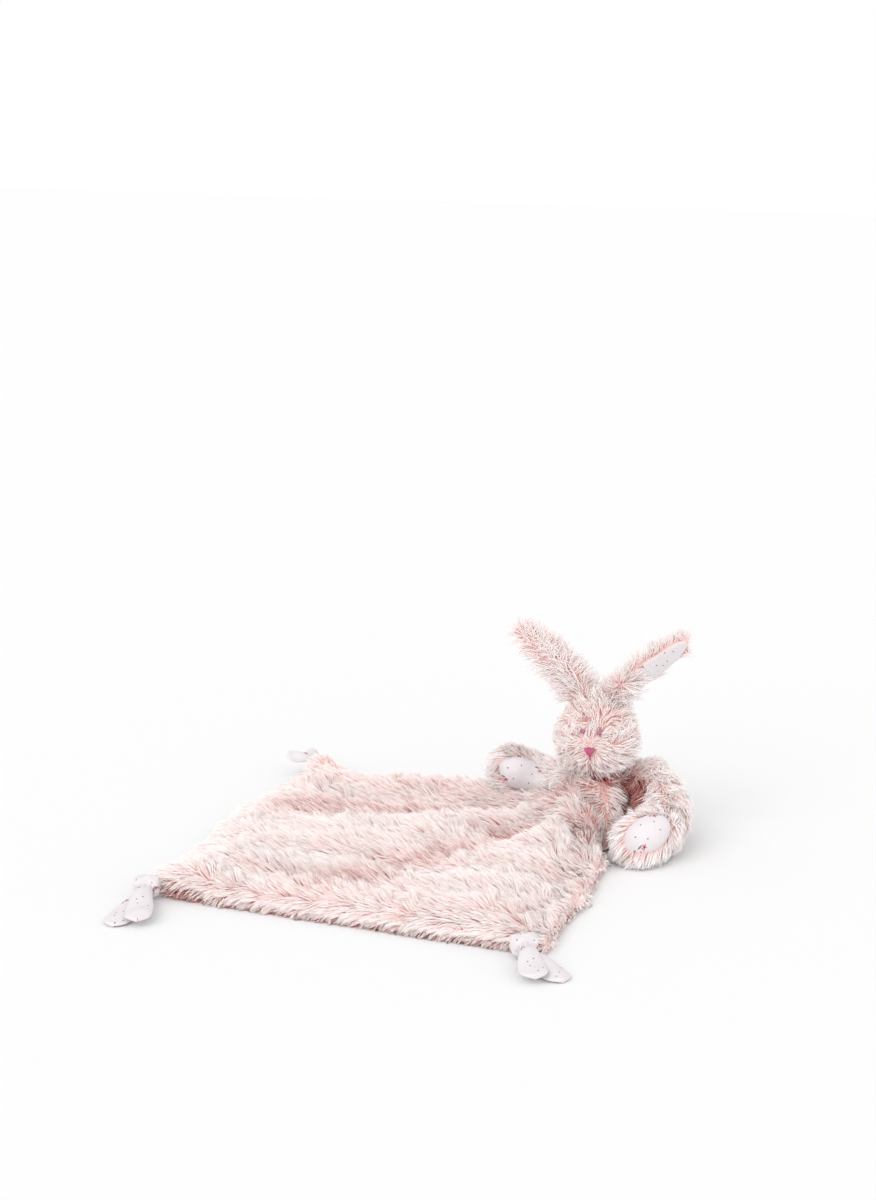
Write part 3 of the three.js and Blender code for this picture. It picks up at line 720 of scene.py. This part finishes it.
def blanket_cloth():
    """Both backing cloths, sewn together all round."""
    share = np.linspace(CLOTH_MARGIN, 1 - CLOTH_MARGIN, CLOTH_STEPS)
    across, along = flat_grid(share, share)
    top = cloth_point(along, across)
    under = top.copy()
    under[:, 2] = UNDER_CLOTH
    faces = grid_faces(CLOTH_STEPS, CLOTH_STEPS)
    index = np.arange(CLOTH_STEPS ** 2).reshape(CLOTH_STEPS, CLOTH_STEPS)
    rim = np.hstack([index[0, :-1], index[:-1, -1], index[-1, :0:-1], index[:0:-1, 0]])
    after = np.roll(rim, -1)
    low = CLOTH_STEPS ** 2
    wall = np.stack([rim + low, after + low, after, rim], 1)
    points = np.vstack([top, under])
    skin = add_mesh("blanket_cloth", points, [faces, faces[:, ::-1] + low, wall], BACKING)
    return placed(skin, ROOT, "plush", "blanket_back_layer", "blanket_top_layer")


def outward(along, across):
    """The way out of the blanket over its nearest edge, and the distance to that edge."""
    gaps = np.stack([along, 1 - along, across, 1 - across], 1) * BLANKET_SIDE
    ways = np.array([[-1.0, 0, 0], [1, -0.1, 0], [0, -1, 0], [-0.1, 1, 0]])
    weights = np.exp(-gaps / EDGE_BLEND)
    return unit((weights[:, :, None] * ways).sum(1)), gaps.min(1)


def jittered(rng, spacing, margin):
    """Random places all over the blanket, about spacing apart."""
    steps = int(BLANKET_SIDE / spacing)
    cell = (np.arange(steps) + 0.5) / steps
    across, along = flat_grid(cell, cell)
    return [np.clip(place + rng.uniform(-0.5, 0.5, len(place)) / steps, margin, 1 - margin)
            for place in (along, across)]


def blanket_top_pile(rng):
    along, across = jittered(rng, spacing=1.25, margin=0.008)
    along, across = kept(body_distance(*laid_point(along, across)) > -4, along, across)
    roots = cloth_point(along, across)
    x, y = roots[:, 0], roots[:, 1]
    normals = cloth_normals(along, across)
    from_body = body_distance(x, y)
    side, behind, _ = to_rabbit(roots).T

    out, gap = outward(along, across)
    right = np.maximum(out[:, 0], 0)
    edge = (1 - smooth(gap, 3, 20)) * (1 - 0.9 * right)
    lie = NAP + 0.3 * drift(roots, scale=70, seed=1) + 0.3 * drift(roots, scale=24, seed=11)
    lie += 1.5 * edge[:, None] * out
    lie += (right * (1 - smooth(gap, 4, 40)))[:, None] * [0.3, -0.5, 0]
    upright = 1 - smooth(np.linalg.norm(lie, axis=1), 0.3, 0.9)
    # Strands in the bottoms of the folds stand more upright and get painted shade, a deeper tone
    deep = valley(x, y) ** 6 * smooth(np.hypot(x - BODY_X, y - BODY_Y), 20, 45) * smooth(gap, 8, 40)

    # Round the body the pile is ruffled on one side and fans out from the parting on the other
    ruff = (1 - smooth(from_body, 4, 26)) * smooth(-side, 0, 14) * smooth(-behind, -20, 0)
    lie += ruff[:, None] * (1.1 * drift(roots, scale=13, seed=13) + turned([0, -0.5, -0.2], HEADING))
    fan = (1 - smooth(from_body, 6, 32)) * smooth(-behind, 6, 22)
    part = np.where(side > BODY_SEAM, 1.7, -0.5)
    lie += fan[:, None] * turned(np.stack([part, np.full(len(x), -0.5), np.zeros(len(x))], 1), HEADING)

    patch = 0.12 * drift(roots, scale=45, seed=12)[:, 0]
    # Tone varies at random and in patches; it is deeper with painted shade in the fold bottoms, deeper in
    # the ruffled pile and paler where the pile fans out
    tone = np.clip(rng.beta(3.4, 1.2, len(roots)) + patch - 0.6 * deep - 0.3 * ruff + 0.3 * fan, 0, 1)
    # Painted shade: the pile is darker towards the back; it is paler near the edges
    tone = np.clip(tone * (1 - 0.2 * smooth(across, 0.55, 0.9)) + 0.2 * edge, CREASE_SHADE_TONE, 1)
    return tufts("blanket_pile", ROOT, roots, normals, lie, tone, rng,
                 length=14.0, width=0.85, rise=20 - 22 * edge + 55 * upright + 14 * deep + 18 * ruff,
                 start=52 - 22 * edge + 40 * upright, clump=6.0, pull=0.45, stray=0.16, droop=0.12 * edge,
                 under_tone=0.35)


def blanket_rim_pile(rng):
    """Pile that stands out of the sewn edge and hangs over it."""
    side = rng.integers(0, 4, RIM_TUFTS)
    place = rng.uniform(0.003, 0.997, RIM_TUFTS)
    inset = rng.uniform(0.004, 0.014, RIM_TUFTS)
    along = np.choose(side, [inset, 1 - inset, place, place])
    across = np.choose(side, [place, place, inset, 1 - inset])
    along, across = kept(body_distance(*laid_point(along, across)) > 0, along, across)
    roots = cloth_point(along, across)
    level = rng.random(len(roots))
    roots[:, 2] = UNDER_CLOTH + level * (roots[:, 2] - UNDER_CLOTH)
    out, _ = outward(along, across)
    normals = unit(out + UP * (level[:, None] * 2.0 - 0.3))
    front = np.maximum(-out[:, 1:2], 0)
    right = np.maximum(out[:, :1], 0)
    lie = (0.45 + 0.35 * front) * NAP + 0.8 * out + 0.25 * drift(roots, scale=40, seed=2)
    lie += -0.35 * UP - front * 0.35 * UP + right * [-0.3, -0.5, 0.8]
    # Painted shade: the lower strands of the front fringe are deep; painted light: the right side is paler
    tone = rng.beta(2.6, 1.6, len(roots)) - 0.9 * front[:, 0] * smooth(1 - level, 0.2, 0.7)
    tone += 0.35 * right[:, 0]
    return tufts("blanket_rim", ROOT, roots, normals, lie, tone, rng,
                 length=11.0 - 2.5 * right[:, 0], width=0.95, rise=22, start=40, clump=4.0, pull=0.3,
                 stray=0.3 - 0.12 * right, droop=0.1 + 0.1 * front[:, 0])


def blanket_under_pile(rng):
    x, y = laid_point(*jittered(rng, spacing=2.6, margin=0.01))
    roots = np.stack([x, y, np.full_like(x, UNDER_CLOTH)], 1)
    normals = np.tile(-UP, (len(roots), 1))
    lie = NAP + 0.4 * drift(roots, scale=70, seed=3)
    tone = rng.beta(2.6, 1.6, len(roots))
    return tufts("blanket_under_pile", ROOT, roots, normals, lie, tone, rng,
                 length=11.0, width=1.9, rise=6, start=14, clump=6.0, pull=0.5, stray=0.3)


def make_blanket(rng):
    cloth = blanket_cloth()
    pile = blanket_top_pile(rng) + blanket_rim_pile(rng) + blanket_under_pile(rng)


# Head

def skin_and_roots(name, body, nodes, rng, inset, spacing, voxel=1.8, under=()):
    """Backing cloth of a stuffed form, which stands for the nodes and runs under others, with roots."""
    skin = stuffed_skin(name, [*nodes, *under], BACKING, inset, voxel)
    placed(skin, body, "plush", *nodes)
    return skin, *scatter(*measured(skin), spacing, rng)


def make_head(rng):
    nodes = ["head_cover", "head_filling"]
    skin, roots, normals = skin_and_roots("head_cloth", "head", nodes, rng, inset=2.2, spacing=1.0)
    local = to_head(roots)
    away = local - MUZZLE
    off_nose = (np.abs(away[:, 0]) > 2.4) | (np.abs(away[:, 2]) > 2.2) | (local[:, 1] > 0)
    roots, normals, local, away = kept(off_nose & (local[:, 2] > 2), roots, normals, local, away)
    distance = np.linalg.norm(away, axis=1)
    x, y, z = np.split(local, 3, axis=1)
    side = np.sign(x) * AHEAD * (z < 24)
    forehead = smooth(z, 34, 44) * smooth(-y, 0, 14)
    chin = 1 - smooth(z, 8, 20)
    behind = smooth(y, 0, 18)
    crown = smooth(z[:, 0], 46, 55)
    near_nose = 1 - smooth(distance, 3, 11)
    lie = unit(away) + 0.5 * side + [0, 0.35, -0.35] + chin * [0, -0.5, -0.7] - 1.2 * behind * UP
    lie = turned(lie, HEAD_HEADING) + (0.5 + 0.9 * forehead) * drift(roots, scale=16, seed=4)
    # Painted shade makes the forehead's pile deeper; the pile is paler near the nose
    tone = 0.4 + 0.6 * rng.beta(3.0, 1.1, len(roots)) - 0.3 * forehead[:, 0] + 0.4 * near_nose
    tufts("head_pile", "head", roots, normals, lie, tone, rng,
          length=6.5 + 6.5 * smooth(distance, 4, 24) + 4.0 * crown, width=0.8,
          rise=15 + 8 * near_nose + 40 * crown, start=40 + 30 * crown, clump=4.5, pull=0.55,
          stray=0.3 + 0.25 * forehead, droop=0.06, under_tone=0.2)


# Swept forms

def catmull_rom(stops, steps=40):
    """Points along a smooth curve through the stops, and the distance to each."""
    stops = np.asarray(stops, float)
    stops = np.vstack([2 * stops[0] - stops[1], stops, 2 * stops[-1] - stops[-2]])
    knots = np.hstack([0, np.cumsum(np.linalg.norm(np.diff(stops, axis=0), axis=1) ** 0.5)])
    points = []
    for i in range(1, len(stops) - 2):
        t = np.linspace(knots[i], knots[i + 1], steps, endpoint=False)[:, None]
        at = knots[i - 1:i + 3]

        def between(low, high, first, second):
            share = (t - at[low]) / (at[high] - at[low])
            return (1 - share) * first + share * second

        level = stops[i - 1:i + 3]
        one = [between(j, j + 1, level[j], level[j + 1]) for j in range(3)]
        two = [between(j, j + 2, one[j], one[j + 1]) for j in range(2)]
        points.append(between(1, 2, *two))
    points = np.vstack([*points, stops[-2]])
    distance = np.hstack([0, np.cumsum(np.linalg.norm(np.diff(points, axis=0), axis=1))])
    return points, distance


def along_curve(points, distance, places):
    """Points and directions at the given distances along a curve."""
    def at(where):
        return np.stack([np.interp(where, distance, points[:, axis]) for axis in range(3)], 1)

    return at(places), unit(at(places + 0.5) - at(places - 0.5))


def swept(route, along, flat, half_width, half_thickness, columns):
    """A closed limb of oval section along a route. flat is the way its flat side faces.

    Gives points, faces and the place of each point across the flat side, from -1 to 1.
    """
    along = np.broadcast_to(along, route.shape)
    normal = unit(flat - along * (flat * along).sum(1, keepdims=True))
    side = np.cross(normal, along) * np.reshape(half_width, (-1, 1))
    thick = normal * np.reshape(half_thickness, (-1, 1))
    angle = circle(columns)
    rings = (route[:, None] + np.cos(angle)[None, :, None] * side[:, None]
             + np.sin(angle)[None, :, None] * thick[:, None])
    points = np.vstack([rings.reshape(-1, 3), route[0], route[-1]])
    across = np.hstack([np.tile(np.cos(angle), len(route)), 0, 0])
    return points, capped(len(route), columns), across


def strand(route, radius):
    """A sewing thread along a route on the face."""
    taper = np.full(len(route), radius)
    taper[[0, -1]] *= 0.6
    points, faces, _ = swept(route, unit(np.gradient(route, axis=0)), FORWARD, taper, taper, 8)
    return points, faces


def add_cotton(name, body, node, points, faces, first, second):
    """A piece of printed cotton, with a map in centimetres from two lengths in millimetres."""
    piece = add_mesh(name, points, faces, COTTON, {"Cloth": np.stack([first, second], 1) / 10})
    return placed(piece, body, "printed_cotton", node)


# Face: satin stitch nose and eyes, and one stitch for the mouth

def head_point(direction, grow):
    """Point of the head's surface in a direction from its middle, grown outwards."""
    drop = radians(MUZZLE_DROP)
    muzzle = np.maximum(-direction[..., 1] * cos(drop) - direction[..., 2] * sin(drop), 0)
    pear = 1 - HEAD_PEAR * direction[..., 2]
    return np.stack([direction[..., 0] * pear * (HEAD_WIDTH / 2 + grow),
                     direction[..., 1] * pear * (HEAD_DEPTH / 2 + grow) - MUZZLE_LENGTH * muzzle ** 4,
                     direction[..., 2] * (HEAD_HEIGHT / 2 + grow) + HEAD_RISE], -1)


def face_point(side, rise, grow):
    x = np.asarray(side) / (HEAD_WIDTH / 2)
    z = np.asarray(rise) / (HEAD_HEIGHT / 2)
    return head_point(np.stack([x, -np.sqrt(1 - x * x - z * z), z], -1), grow)


def satin(name, ends, material, slot, node, slant, threads, radius, sink):
    """A patch of parallel threads on the face, whose ends go into the cloth by sink.

    ends(share) gives the two ends of one thread.
    """
    points, faces, start = [], [], 0
    t = np.linspace(0, 1, 9)
    arch = STITCH_RISE - sink * (2 * t - 1) ** 6
    for share in np.linspace(0, 1, threads):
        (x0, z0), (x1, z1) = ends(share)
        route = face_point(x0 + (x1 - x0) * t + slant * (t - 0.5), z0 + (z1 - z0) * t, arch)
        places, groups = strand(route, radius)
        points.append(places)
        faces += [group + start for group in groups]
        start += len(places)
    placed(add_mesh(name, from_head(np.vstack(points)), faces, material), "head", slot, node)


def nose_ends(share):
    x = (share - 0.5) * NOSE_WIDTH
    hang = 1 - abs(2 * share - 1) ** 1.3
    top = NOSE_RISE + NOSE_HEIGHT / 2 + 0.5 * hang
    return (x, top), (x * 0.75, top - 1.4 - (NOSE_HEIGHT - 1.2) * hang)


def eye_ends(centre):
    def ends(share):
        x = centre + (share - 0.5) * 3.6
        half = 0.6 + 2.0 * sqrt(max(0, 1 - (2 * share - 1) ** 2))
        return (x, EYE_RISE + half), (x, EYE_RISE - half)
    return ends


def make_face():
    satin("nose_stitches", nose_ends, NOSE_THREAD, "nose_thread", "nose",
          slant=0.0, threads=13, radius=0.45, sink=3.2)
    for name, side in (("eye_left", 1), ("eye_right", -1)):
        satin(f"{name}_stitches", eye_ends(side * EYE_SPACING / 2), EYE_THREAD, "eye_thread", name,
              slant=0.5 * side, threads=7, radius=0.42, sink=3.0)
    t = np.linspace(0, 1, 12)
    low = NOSE_RISE - NOSE_HEIGHT / 2 + 0.6
    route = face_point(0 * t, low - MOUTH_LENGTH * t, -1.2 - 3 * (2 * t - 1) ** 8)
    points, faces = strand(route, radius=0.55)
    piece = add_mesh("mouth_thread", from_head(points), faces, NOSE_THREAD)
    placed(piece, "head", "nose_thread", "mouth_stitch")


# Body and neck

def facing_hollow(roots, normals):
    """How much a place on the cloth faces the space between the body and the left arm, from 0 to 1."""
    towards = unit(HOLLOW - to_rabbit(roots))
    return smooth((towards * turned(normals, -HEADING)).sum(1), 0.0, 0.5)


def make_body(rng):
    nodes = ["body_cover", "body_filling"]
    skin, roots, normals = skin_and_roots("body_cloth", ROOT, nodes, rng, inset=2.0, spacing=1.15)
    local = to_rabbit(roots)
    above = local[:, 2] > np.where(local[:, 0] > 8, 2, 9)
    roots, normals, local = kept(above, roots, normals, local)
    x, _, z = local.T
    part = np.sign(x - BODY_SEAM)[:, None] * AHEAD
    ruff = smooth(z, 28, 40)
    flank = facing_hollow(roots, normals) * smooth(x, 10, 15)
    chest = smooth(x, BODY_SEAM - 2, BODY_SEAM + 3)
    lie = turned(0.9 * part + [0, -0.25, -0.75], HEADING)
    lie += (0.4 + 0.8 * ruff[:, None]) * drift(roots, scale=16, seed=5)
    # Painted shade: deeper in the ruff under the chin, and much deeper on the flank that faces the hollow
    # by the left arm; painted light: paler right of the chest's parting
    tone = rng.beta(4.0, 1.1, len(roots)) - 0.15 * ruff + 0.25 * chest - 1.4 * flank
    tufts("body_pile", ROOT, roots, normals, lie, tone, rng,
          length=12.0 + 3.0 * ruff - 2.0 * flank, width=0.8, rise=17 + 16 * ruff + 30 * flank, start=44,
          clump=4.5, pull=0.45, stray=0.3 + 0.3 * ruff[:, None], droop=0.05, under_tone=0.25)


def make_neck(rng):
    _, roots, normals = skin_and_roots("neck_cloth", "neck", ["neck_gather"], rng, inset=2.5, spacing=1.3,
                                       voxel=1.4)
    # Painted shade: the pile that faces the hollow by the left arm is deeper
    tone = rng.beta(1.8, 2.0, len(roots)) - facing_hollow(roots, normals)
    lie = -UP + 0.8 * drift(roots, scale=12, seed=6)
    tufts("neck_pile", "neck", roots, normals, lie, tone, rng, length=15.0, width=0.85, rise=36, clump=4.0,
          stray=0.5, droop=0.1)


# Ears

def ear_half_width(x, inset):
    """Half the width of an ear at a distance from its root, drawn in all round by inset."""
    widest = EAR_WIDTH / 2 - inset
    root = EAR_ROOT_WIDTH / 2 - inset
    short = np.clip(1 - (EAR_LENGTH - inset - x) / (EAR_LENGTH - EAR_WIDEST), 0, 1)
    tip = widest * np.sqrt(np.maximum(1 - short ** 2, 0.02))
    stem = root + (widest - root) * np.sin(pi / 2 * np.minimum(x / EAR_WIDEST, 1))
    return np.where(x > EAR_WIDEST, tip, stem)


def ear_axes(side, rise, lean, roll):
    """Place of an ear's hinge on the head, and its axes: to the tip, across, and out of the lining."""
    seat, rise, lean, roll = (radians(angle) for angle in (EAR_SIDE, rise, lean, side * roll))
    out = np.array([side * sin(seat), 0, cos(seat)])
    place = head_point(out, 0) + out * (EAR_ROOT_RADIUS + CLEARANCE)
    along = unit(np.array([side * cos(rise), tan(lean), sin(rise)]))
    level = unit(FORWARD - along * (FORWARD @ along))
    facing = level * cos(roll) + np.cross(along, level) * sin(roll)
    return place, along, np.cross(facing, along), facing


def ear_sheet(start, end, inset, sway, level, half_thickness, columns):
    """A flat form of an ear's outline, along its own axes."""
    x = eased(start, end, 30)
    bend = (x / EAR_LENGTH) ** 2
    route = np.stack([x, sway * bend, level - EAR_BEND * bend], 1)
    return swept(route, AHEAD, UP, ear_half_width(x, inset), half_thickness, columns)[:2]


def make_ear(name, rng):
    *pose, sway = EARS[name]
    place, along, across, facing = ear_axes(*pose)
    axes = np.stack([along, across, facing])
    lining_seen = name == "ear_left"

    points, faces = ear_sheet(-4, EAR_LENGTH - 2.0, EAR_PILE_INSET, sway, level=0, half_thickness=1.7,
                              columns=28)
    skin = add_mesh(f"{name}_cloth", from_head(points @ axes + place), faces, BACKING)
    placed(skin, name, "plush", f"{name}_back")
    roots, normals = scatter(*measured(skin), spacing=0.9, rng=rng)
    x, y, _ = ((to_head(roots) - place) @ axes.T).T
    half = ear_half_width(np.clip(x, 0, EAR_LENGTH - 3), EAR_PILE_INSET)
    edge = (y - sway * (x / EAR_LENGTH) ** 2) / half
    bare_from = np.where(edge > -0.2, LINING_START + EAR_FRINGE, LINING_ROOT + 2)
    lined = smooth(x, bare_from - 2, bare_from)
    free_edge = (edge < -0.8) & (lined > 0.5) & lining_seen
    outside = turned(facing, HEAD_HEADING)
    bare = (normals @ outside >= 0.35 - 0.3 * free_edge) & (lined >= 1)
    roots, normals, x, edge, lined = kept(~bare, roots, normals, x, edge, lined)

    rim = (np.sign(edge) * smooth(np.abs(edge), 0.35, 1.0))[:, None]
    if lining_seen:
        rim = np.maximum(rim, -0.3)
    tip = smooth(x, EAR_LENGTH - 14, EAR_LENGTH - 2)
    base = 1 - smooth(x, 4, 20)
    upper = np.maximum(rim[:, 0], 0) * lined * lining_seen
    flow = (1 - 0.3 * np.abs(rim)) * along + 1.3 * rim * across
    lie = turned(flow, HEAD_HEADING) + 0.4 * drift(roots, scale=16, seed=8)
    tone = rng.beta(7.0, 1.0, len(roots)) - 0.1 * base
    tufts(f"{name}_pile", name, roots, normals, lie, tone, rng,
          length=13.0 + 3.0 * base + 0.5 * tip + 3.5 * upper, width=0.75,
          rise=15 + 20 * base + 5 * tip + 22 * upper, start=34 + 22 * base, clump=4.0, pull=0.25,
          stray=0.22, under_tone=0.0)

    points, faces = ear_sheet(LINING_ROOT, EAR_LENGTH - 2.6, LINING_RIM, sway, level=1.5,
                              half_thickness=0.9, columns=24)
    lining = add_cotton(f"{name}_cotton", name, f"{name}_lining", from_head(points @ axes + place), faces,
                        points[:, 0], points[:, 1])


# Arms

def paw_pad(hand, skin, palm, along, across, facing):
    """A domed oval of cotton laid onto the palm."""
    spots, triangles, _ = measured(skin)
    tree = BVHTree.FromPolygons(to_rabbit(spots).tolist(), triangles.tolist())
    places = []
    for ring in np.linspace(1.0, 0.12, PAD_RINGS):
        dome = 1.6 + 3.4 * sqrt(max(0, 1 - ring ** 2.5))
        for turn in circle(PAD_COLUMNS):
            spot = palm + along * (ring * cos(turn) * PAD_LENGTH / 2)
            spot = spot + across * (ring * sin(turn) * PAD_WIDTH / 2)
            hit = tree.ray_cast(Vector(spot + facing * 60), Vector(-facing))[0]
            level = (np.array(hit) - palm) @ facing if hit else 0.0
            places.append(spot + facing * (level + dome))
    places = np.array(places)
    under = places[:PAD_COLUMNS] - facing * PAD_DEPTH
    points = np.vstack([under, places, under.mean(0), places[-PAD_COLUMNS:].mean(0)])
    faces = capped(PAD_RINGS + 1, PAD_COLUMNS)
    local = points - palm
    node = f"paw_pad_{hand}"
    pad = add_cotton(f"{node}_cotton", f"arm_{hand}", node, from_rabbit(points), faces,
                     local @ along, local @ across)


def make_arm(hand, rng):
    side, back, upward, stops = ARMS[hand]
    body = f"arm_{hand}"
    shoulder = [side * SHOULDER_X, back, SHOULDER_HEIGHT]
    rest = [[shoulder[0] + side * out, behind, under + PAW_RADIUS] for out, behind, under in stops]
    route, distance = catmull_rom([shoulder] + rest)
    nodes = [f"{body}_cover", f"{body}_filling"]
    skin, roots, normals = skin_and_roots(f"{body}_cloth", body, nodes, rng, inset=-0.8, spacing=1.0,
                                          under=[f"paw_pad_{hand}"])

    (palm,), (along,) = along_curve(route, distance, distance[-1:] - PALM_SETBACK)
    facing = FORWARD * cos(radians(upward)) + UP * sin(radians(upward))
    facing = unit(facing - along * (facing @ along))
    across = np.cross(facing, along)
    local = to_rabbit(roots) - palm
    oval = np.hypot(local @ along / (PAD_LENGTH / 2), local @ across / (PAD_WIDTH / 2))
    off_pad = (oval > 0.97) | (local @ facing < 2)
    roots, normals, oval, local = kept(off_pad, roots, normals, oval, local)
    direction = unit(np.gradient(route, axis=0))[nearest(to_rabbit(roots), route)]
    collar = (1 - smooth(oval, 1.0, 1.5)) * smooth(local @ facing, -2, 4)
    inner = facing_hollow(roots, normals) * smooth(oval, 1.0, 1.6) * (side > 0)
    lie = turned(0.7 * direction - 0.4 * UP, HEADING) + 0.3 * drift(roots, scale=20, seed=9)
    lie += 0.4 * collar[:, None] * turned(unit(local - facing * (local @ facing)[:, None]), HEADING)
    # Painted shade: the left arm's inner side, facing the hollow, is deep
    tone = rng.beta(7.0, 1.0, len(roots)) - 1.2 * inner
    tufts(f"{body}_pile", body, roots, normals, lie, tone, rng, length=12.5, width=0.78,
          rise=11 + 24 * collar + 40 * inner, start=30 + 36 * inner, clump=4.5, pull=0.2, stray=0.22,
          droop=0.04, under_tone=0.05)
    paw_pad(hand, skin, palm, along, across, facing)


# Ties

def tail(spread, level, length, width):
    """A tail of a tie, which slopes from the knot to the floor. Only the upper one, at a level, is wavy."""
    turn = radians(spread)
    root = level - TAIL_STACK / 2
    floor = TAIL_THICKNESS / 2 + 2 * CLEARANCE - KNOT_HEIGHT + level
    slope = length * TAIL_SLOPE
    profile = [(0, root), (slope / 2, (2 * root + floor) / 3), (slope, floor), (length, floor)]
    stops = [[KNOT_RADIUS / 2 + reach * cos(turn), reach * sin(turn), height] for reach, height in profile]
    curve, distance = catmull_rom(stops)
    places = eased(0, distance[-1], TAIL_ROWS)
    route, along = along_curve(curve, distance, places)
    wide = TAIL_ROOT_WIDTH + (width - TAIL_ROOT_WIDTH) * smooth(places, 0, slope)
    short = np.clip(1 - (distance[-1] - places) / (width / 2), 0, 1)
    half = np.minimum(wide / 2, width / 2 * np.sqrt(np.maximum(1 - short ** 2, 0.01)))
    points, faces, across = swept(route, along, UP, half, TAIL_THICKNESS / 2, TAIL_COLUMNS)
    run, half_at = (np.hstack([np.repeat(value, TAIL_COLUMNS), value[[0, -1]]]) for value in (places, half))
    from_tip = smooth(distance[-1] - run, 0, 12)
    puff = TAIL_PUFF * (1 - across ** 2) * smooth(run, 3, 16) * from_tip
    pleat = TAIL_FOLD * np.cos(9 * across) * np.exp(-run / 16) * smooth(run, 0, 4)
    wave = TAIL_FOLD * np.sin(run / 7.0 + across * 1.8) * smooth(run, 4, 16) * from_tip
    points[:, 2] += puff + (pleat + wave) * (level > 0)
    return points, faces, run + 3 * level, across * half_at


def knot():
    """A folded ball, wider than it is high."""
    lean = pi * (np.arange(KNOT_ROWS) + 0.5) / KNOT_ROWS - pi / 2
    lean, angle = flat_grid(lean, circle(KNOT_COLUMNS))
    fold = 0.08 * np.sin(4 * angle + 3.5 * np.sin(lean)) + 0.05 * np.sin(9 * angle - 6 * np.sin(lean))
    radius = KNOT_RADIUS * np.sqrt(np.cos(lean)) * (1 + fold - 0.04)
    wide = KNOT_WIDTH / 2 * np.sin(lean)
    points = np.stack([radius * np.sin(angle), wide, radius * np.cos(angle)], 1)
    points = np.vstack([points, [0, -KNOT_WIDTH / 2, 0], [0, KNOT_WIDTH / 2, 0]])
    run = np.hstack([angle * KNOT_RADIUS, 0, 0])
    return points, capped(KNOT_ROWS, KNOT_COLUMNS), run, points[:, 1]


def make_tie(name, corner, inset, leaves, points_to, lift, spread, length, width):
    out, tip = radians(leaves), radians(lift)
    edge = np.array([corner[0] * (BLANKET_SIDE / 2 - inset), corner[1] * BLANKET_SIDE / 2, 0])
    origin = edge + [KNOT_REACH * cos(out), KNOT_REACH * sin(out), KNOT_HEIGHT]
    raised = np.array([[cos(tip), 0, sin(tip)], [0, 1, 0], [-sin(tip), 0, cos(tip)]])
    body = f"tie_{name}"

    def put(label, points, *form):
        node = f"{body}_{label}"
        return add_cotton(f"{node}_cloth", body, node, turned(points @ raised, points_to) + origin, *form)

    put("knot", *knot())
    for label, way, level in (("upper_tail", spread, TAIL_STACK), ("lower_tail", -spread, 0)):
        piece = put(label, *tail(way, level, length, width))

    x = np.linspace(-TAB_INSERT, KNOT_REACH, 14)
    route = np.stack([x, 0 * x, 0 * x], 1)
    points, faces, _ = swept(route, AHEAD, UP, TAB_WIDTH / 2, TAB_THICKNESS / 2, 16)
    place = edge + [0, 0, LAYER_THICKNESS + CLEARANCE / 2]
    add_cotton(f"{body}_tab_cloth", ROOT, f"{body}_tab", turned(points, leaves) + place, faces,
               points[:, 0], points[:, 1])


# Light, floor and camera

def grey(tone):
    return (tone, tone, tone, 1)


def aim(holder, down, azimuth):
    holder.rotation_euler = (radians(90 - down), 0, radians(azimuth))


def make_studio():
    scene = bpy.context.scene
    scene.view_settings.view_transform = "Standard"
    scene.world = bpy.data.worlds.new("studio")
    scene.world.use_nodes = True
    sky = Nodes(scene.world.node_tree)
    background = sky.tree.nodes["Background"]
    background.inputs["Strength"].default_value = 1.0
    rays = sky.node("ShaderNodeLightPath").outputs
    seen = rays["Is Camera Ray"]
    for ray in ("Is Glossy Ray", "Is Transmission Ray"):
        seen = sky.math("MAXIMUM", seen, rays[ray])
    sky.tree.links.new(sky.mix(seen, grey(SKY_LIGHT), grey(1)), background.inputs["Color"])

    for name, azimuth, height, spread, power in LAMPS:
        lamp = bpy.data.lights.new(name, "SUN")
        lamp.angle = radians(spread)
        lamp.energy = power
        aim(add_object(lamp), height, azimuth)

    shader = Shader("floor", Roughness=0.9, Specular_IOR_Level=0.0)
    rays = shader.node("ShaderNodeLightPath").outputs
    shader.colour(shader.mix(rays["Is Camera Ray"], grey(FLOOR_TONE), grey(FLOOR_SEEN)))
    corners = FLOOR_HALF * np.array([[-1, -1, 0], [1, -1, 0], [1, 1, 0], [-1, 1, 0]])
    add_mesh("floor", corners, [np.array([[0, 1, 2, 3]])], shader.material)

    camera = bpy.data.cameras.new("camera")
    camera.sensor_fit = "VERTICAL"
    camera.sensor_height = SENSOR
    camera.lens = LENS
    scene.camera = add_object(camera)
    scene.camera.location = Vector(CAMERA_PLACE) * MM
    aim(scene.camera, CAMERA_PITCH, CAMERA_AZIMUTH)


rng = np.random.default_rng(SEED)
make_blanket(rng)
make_head(rng)
make_face()
make_body(rng)
make_neck(rng)
for name in EARS:
    make_ear(name, rng)
for hand in ARMS:
    make_arm(hand, rng)
for name, form in TIES.items():
    make_tie(name, *form)
make_studio()
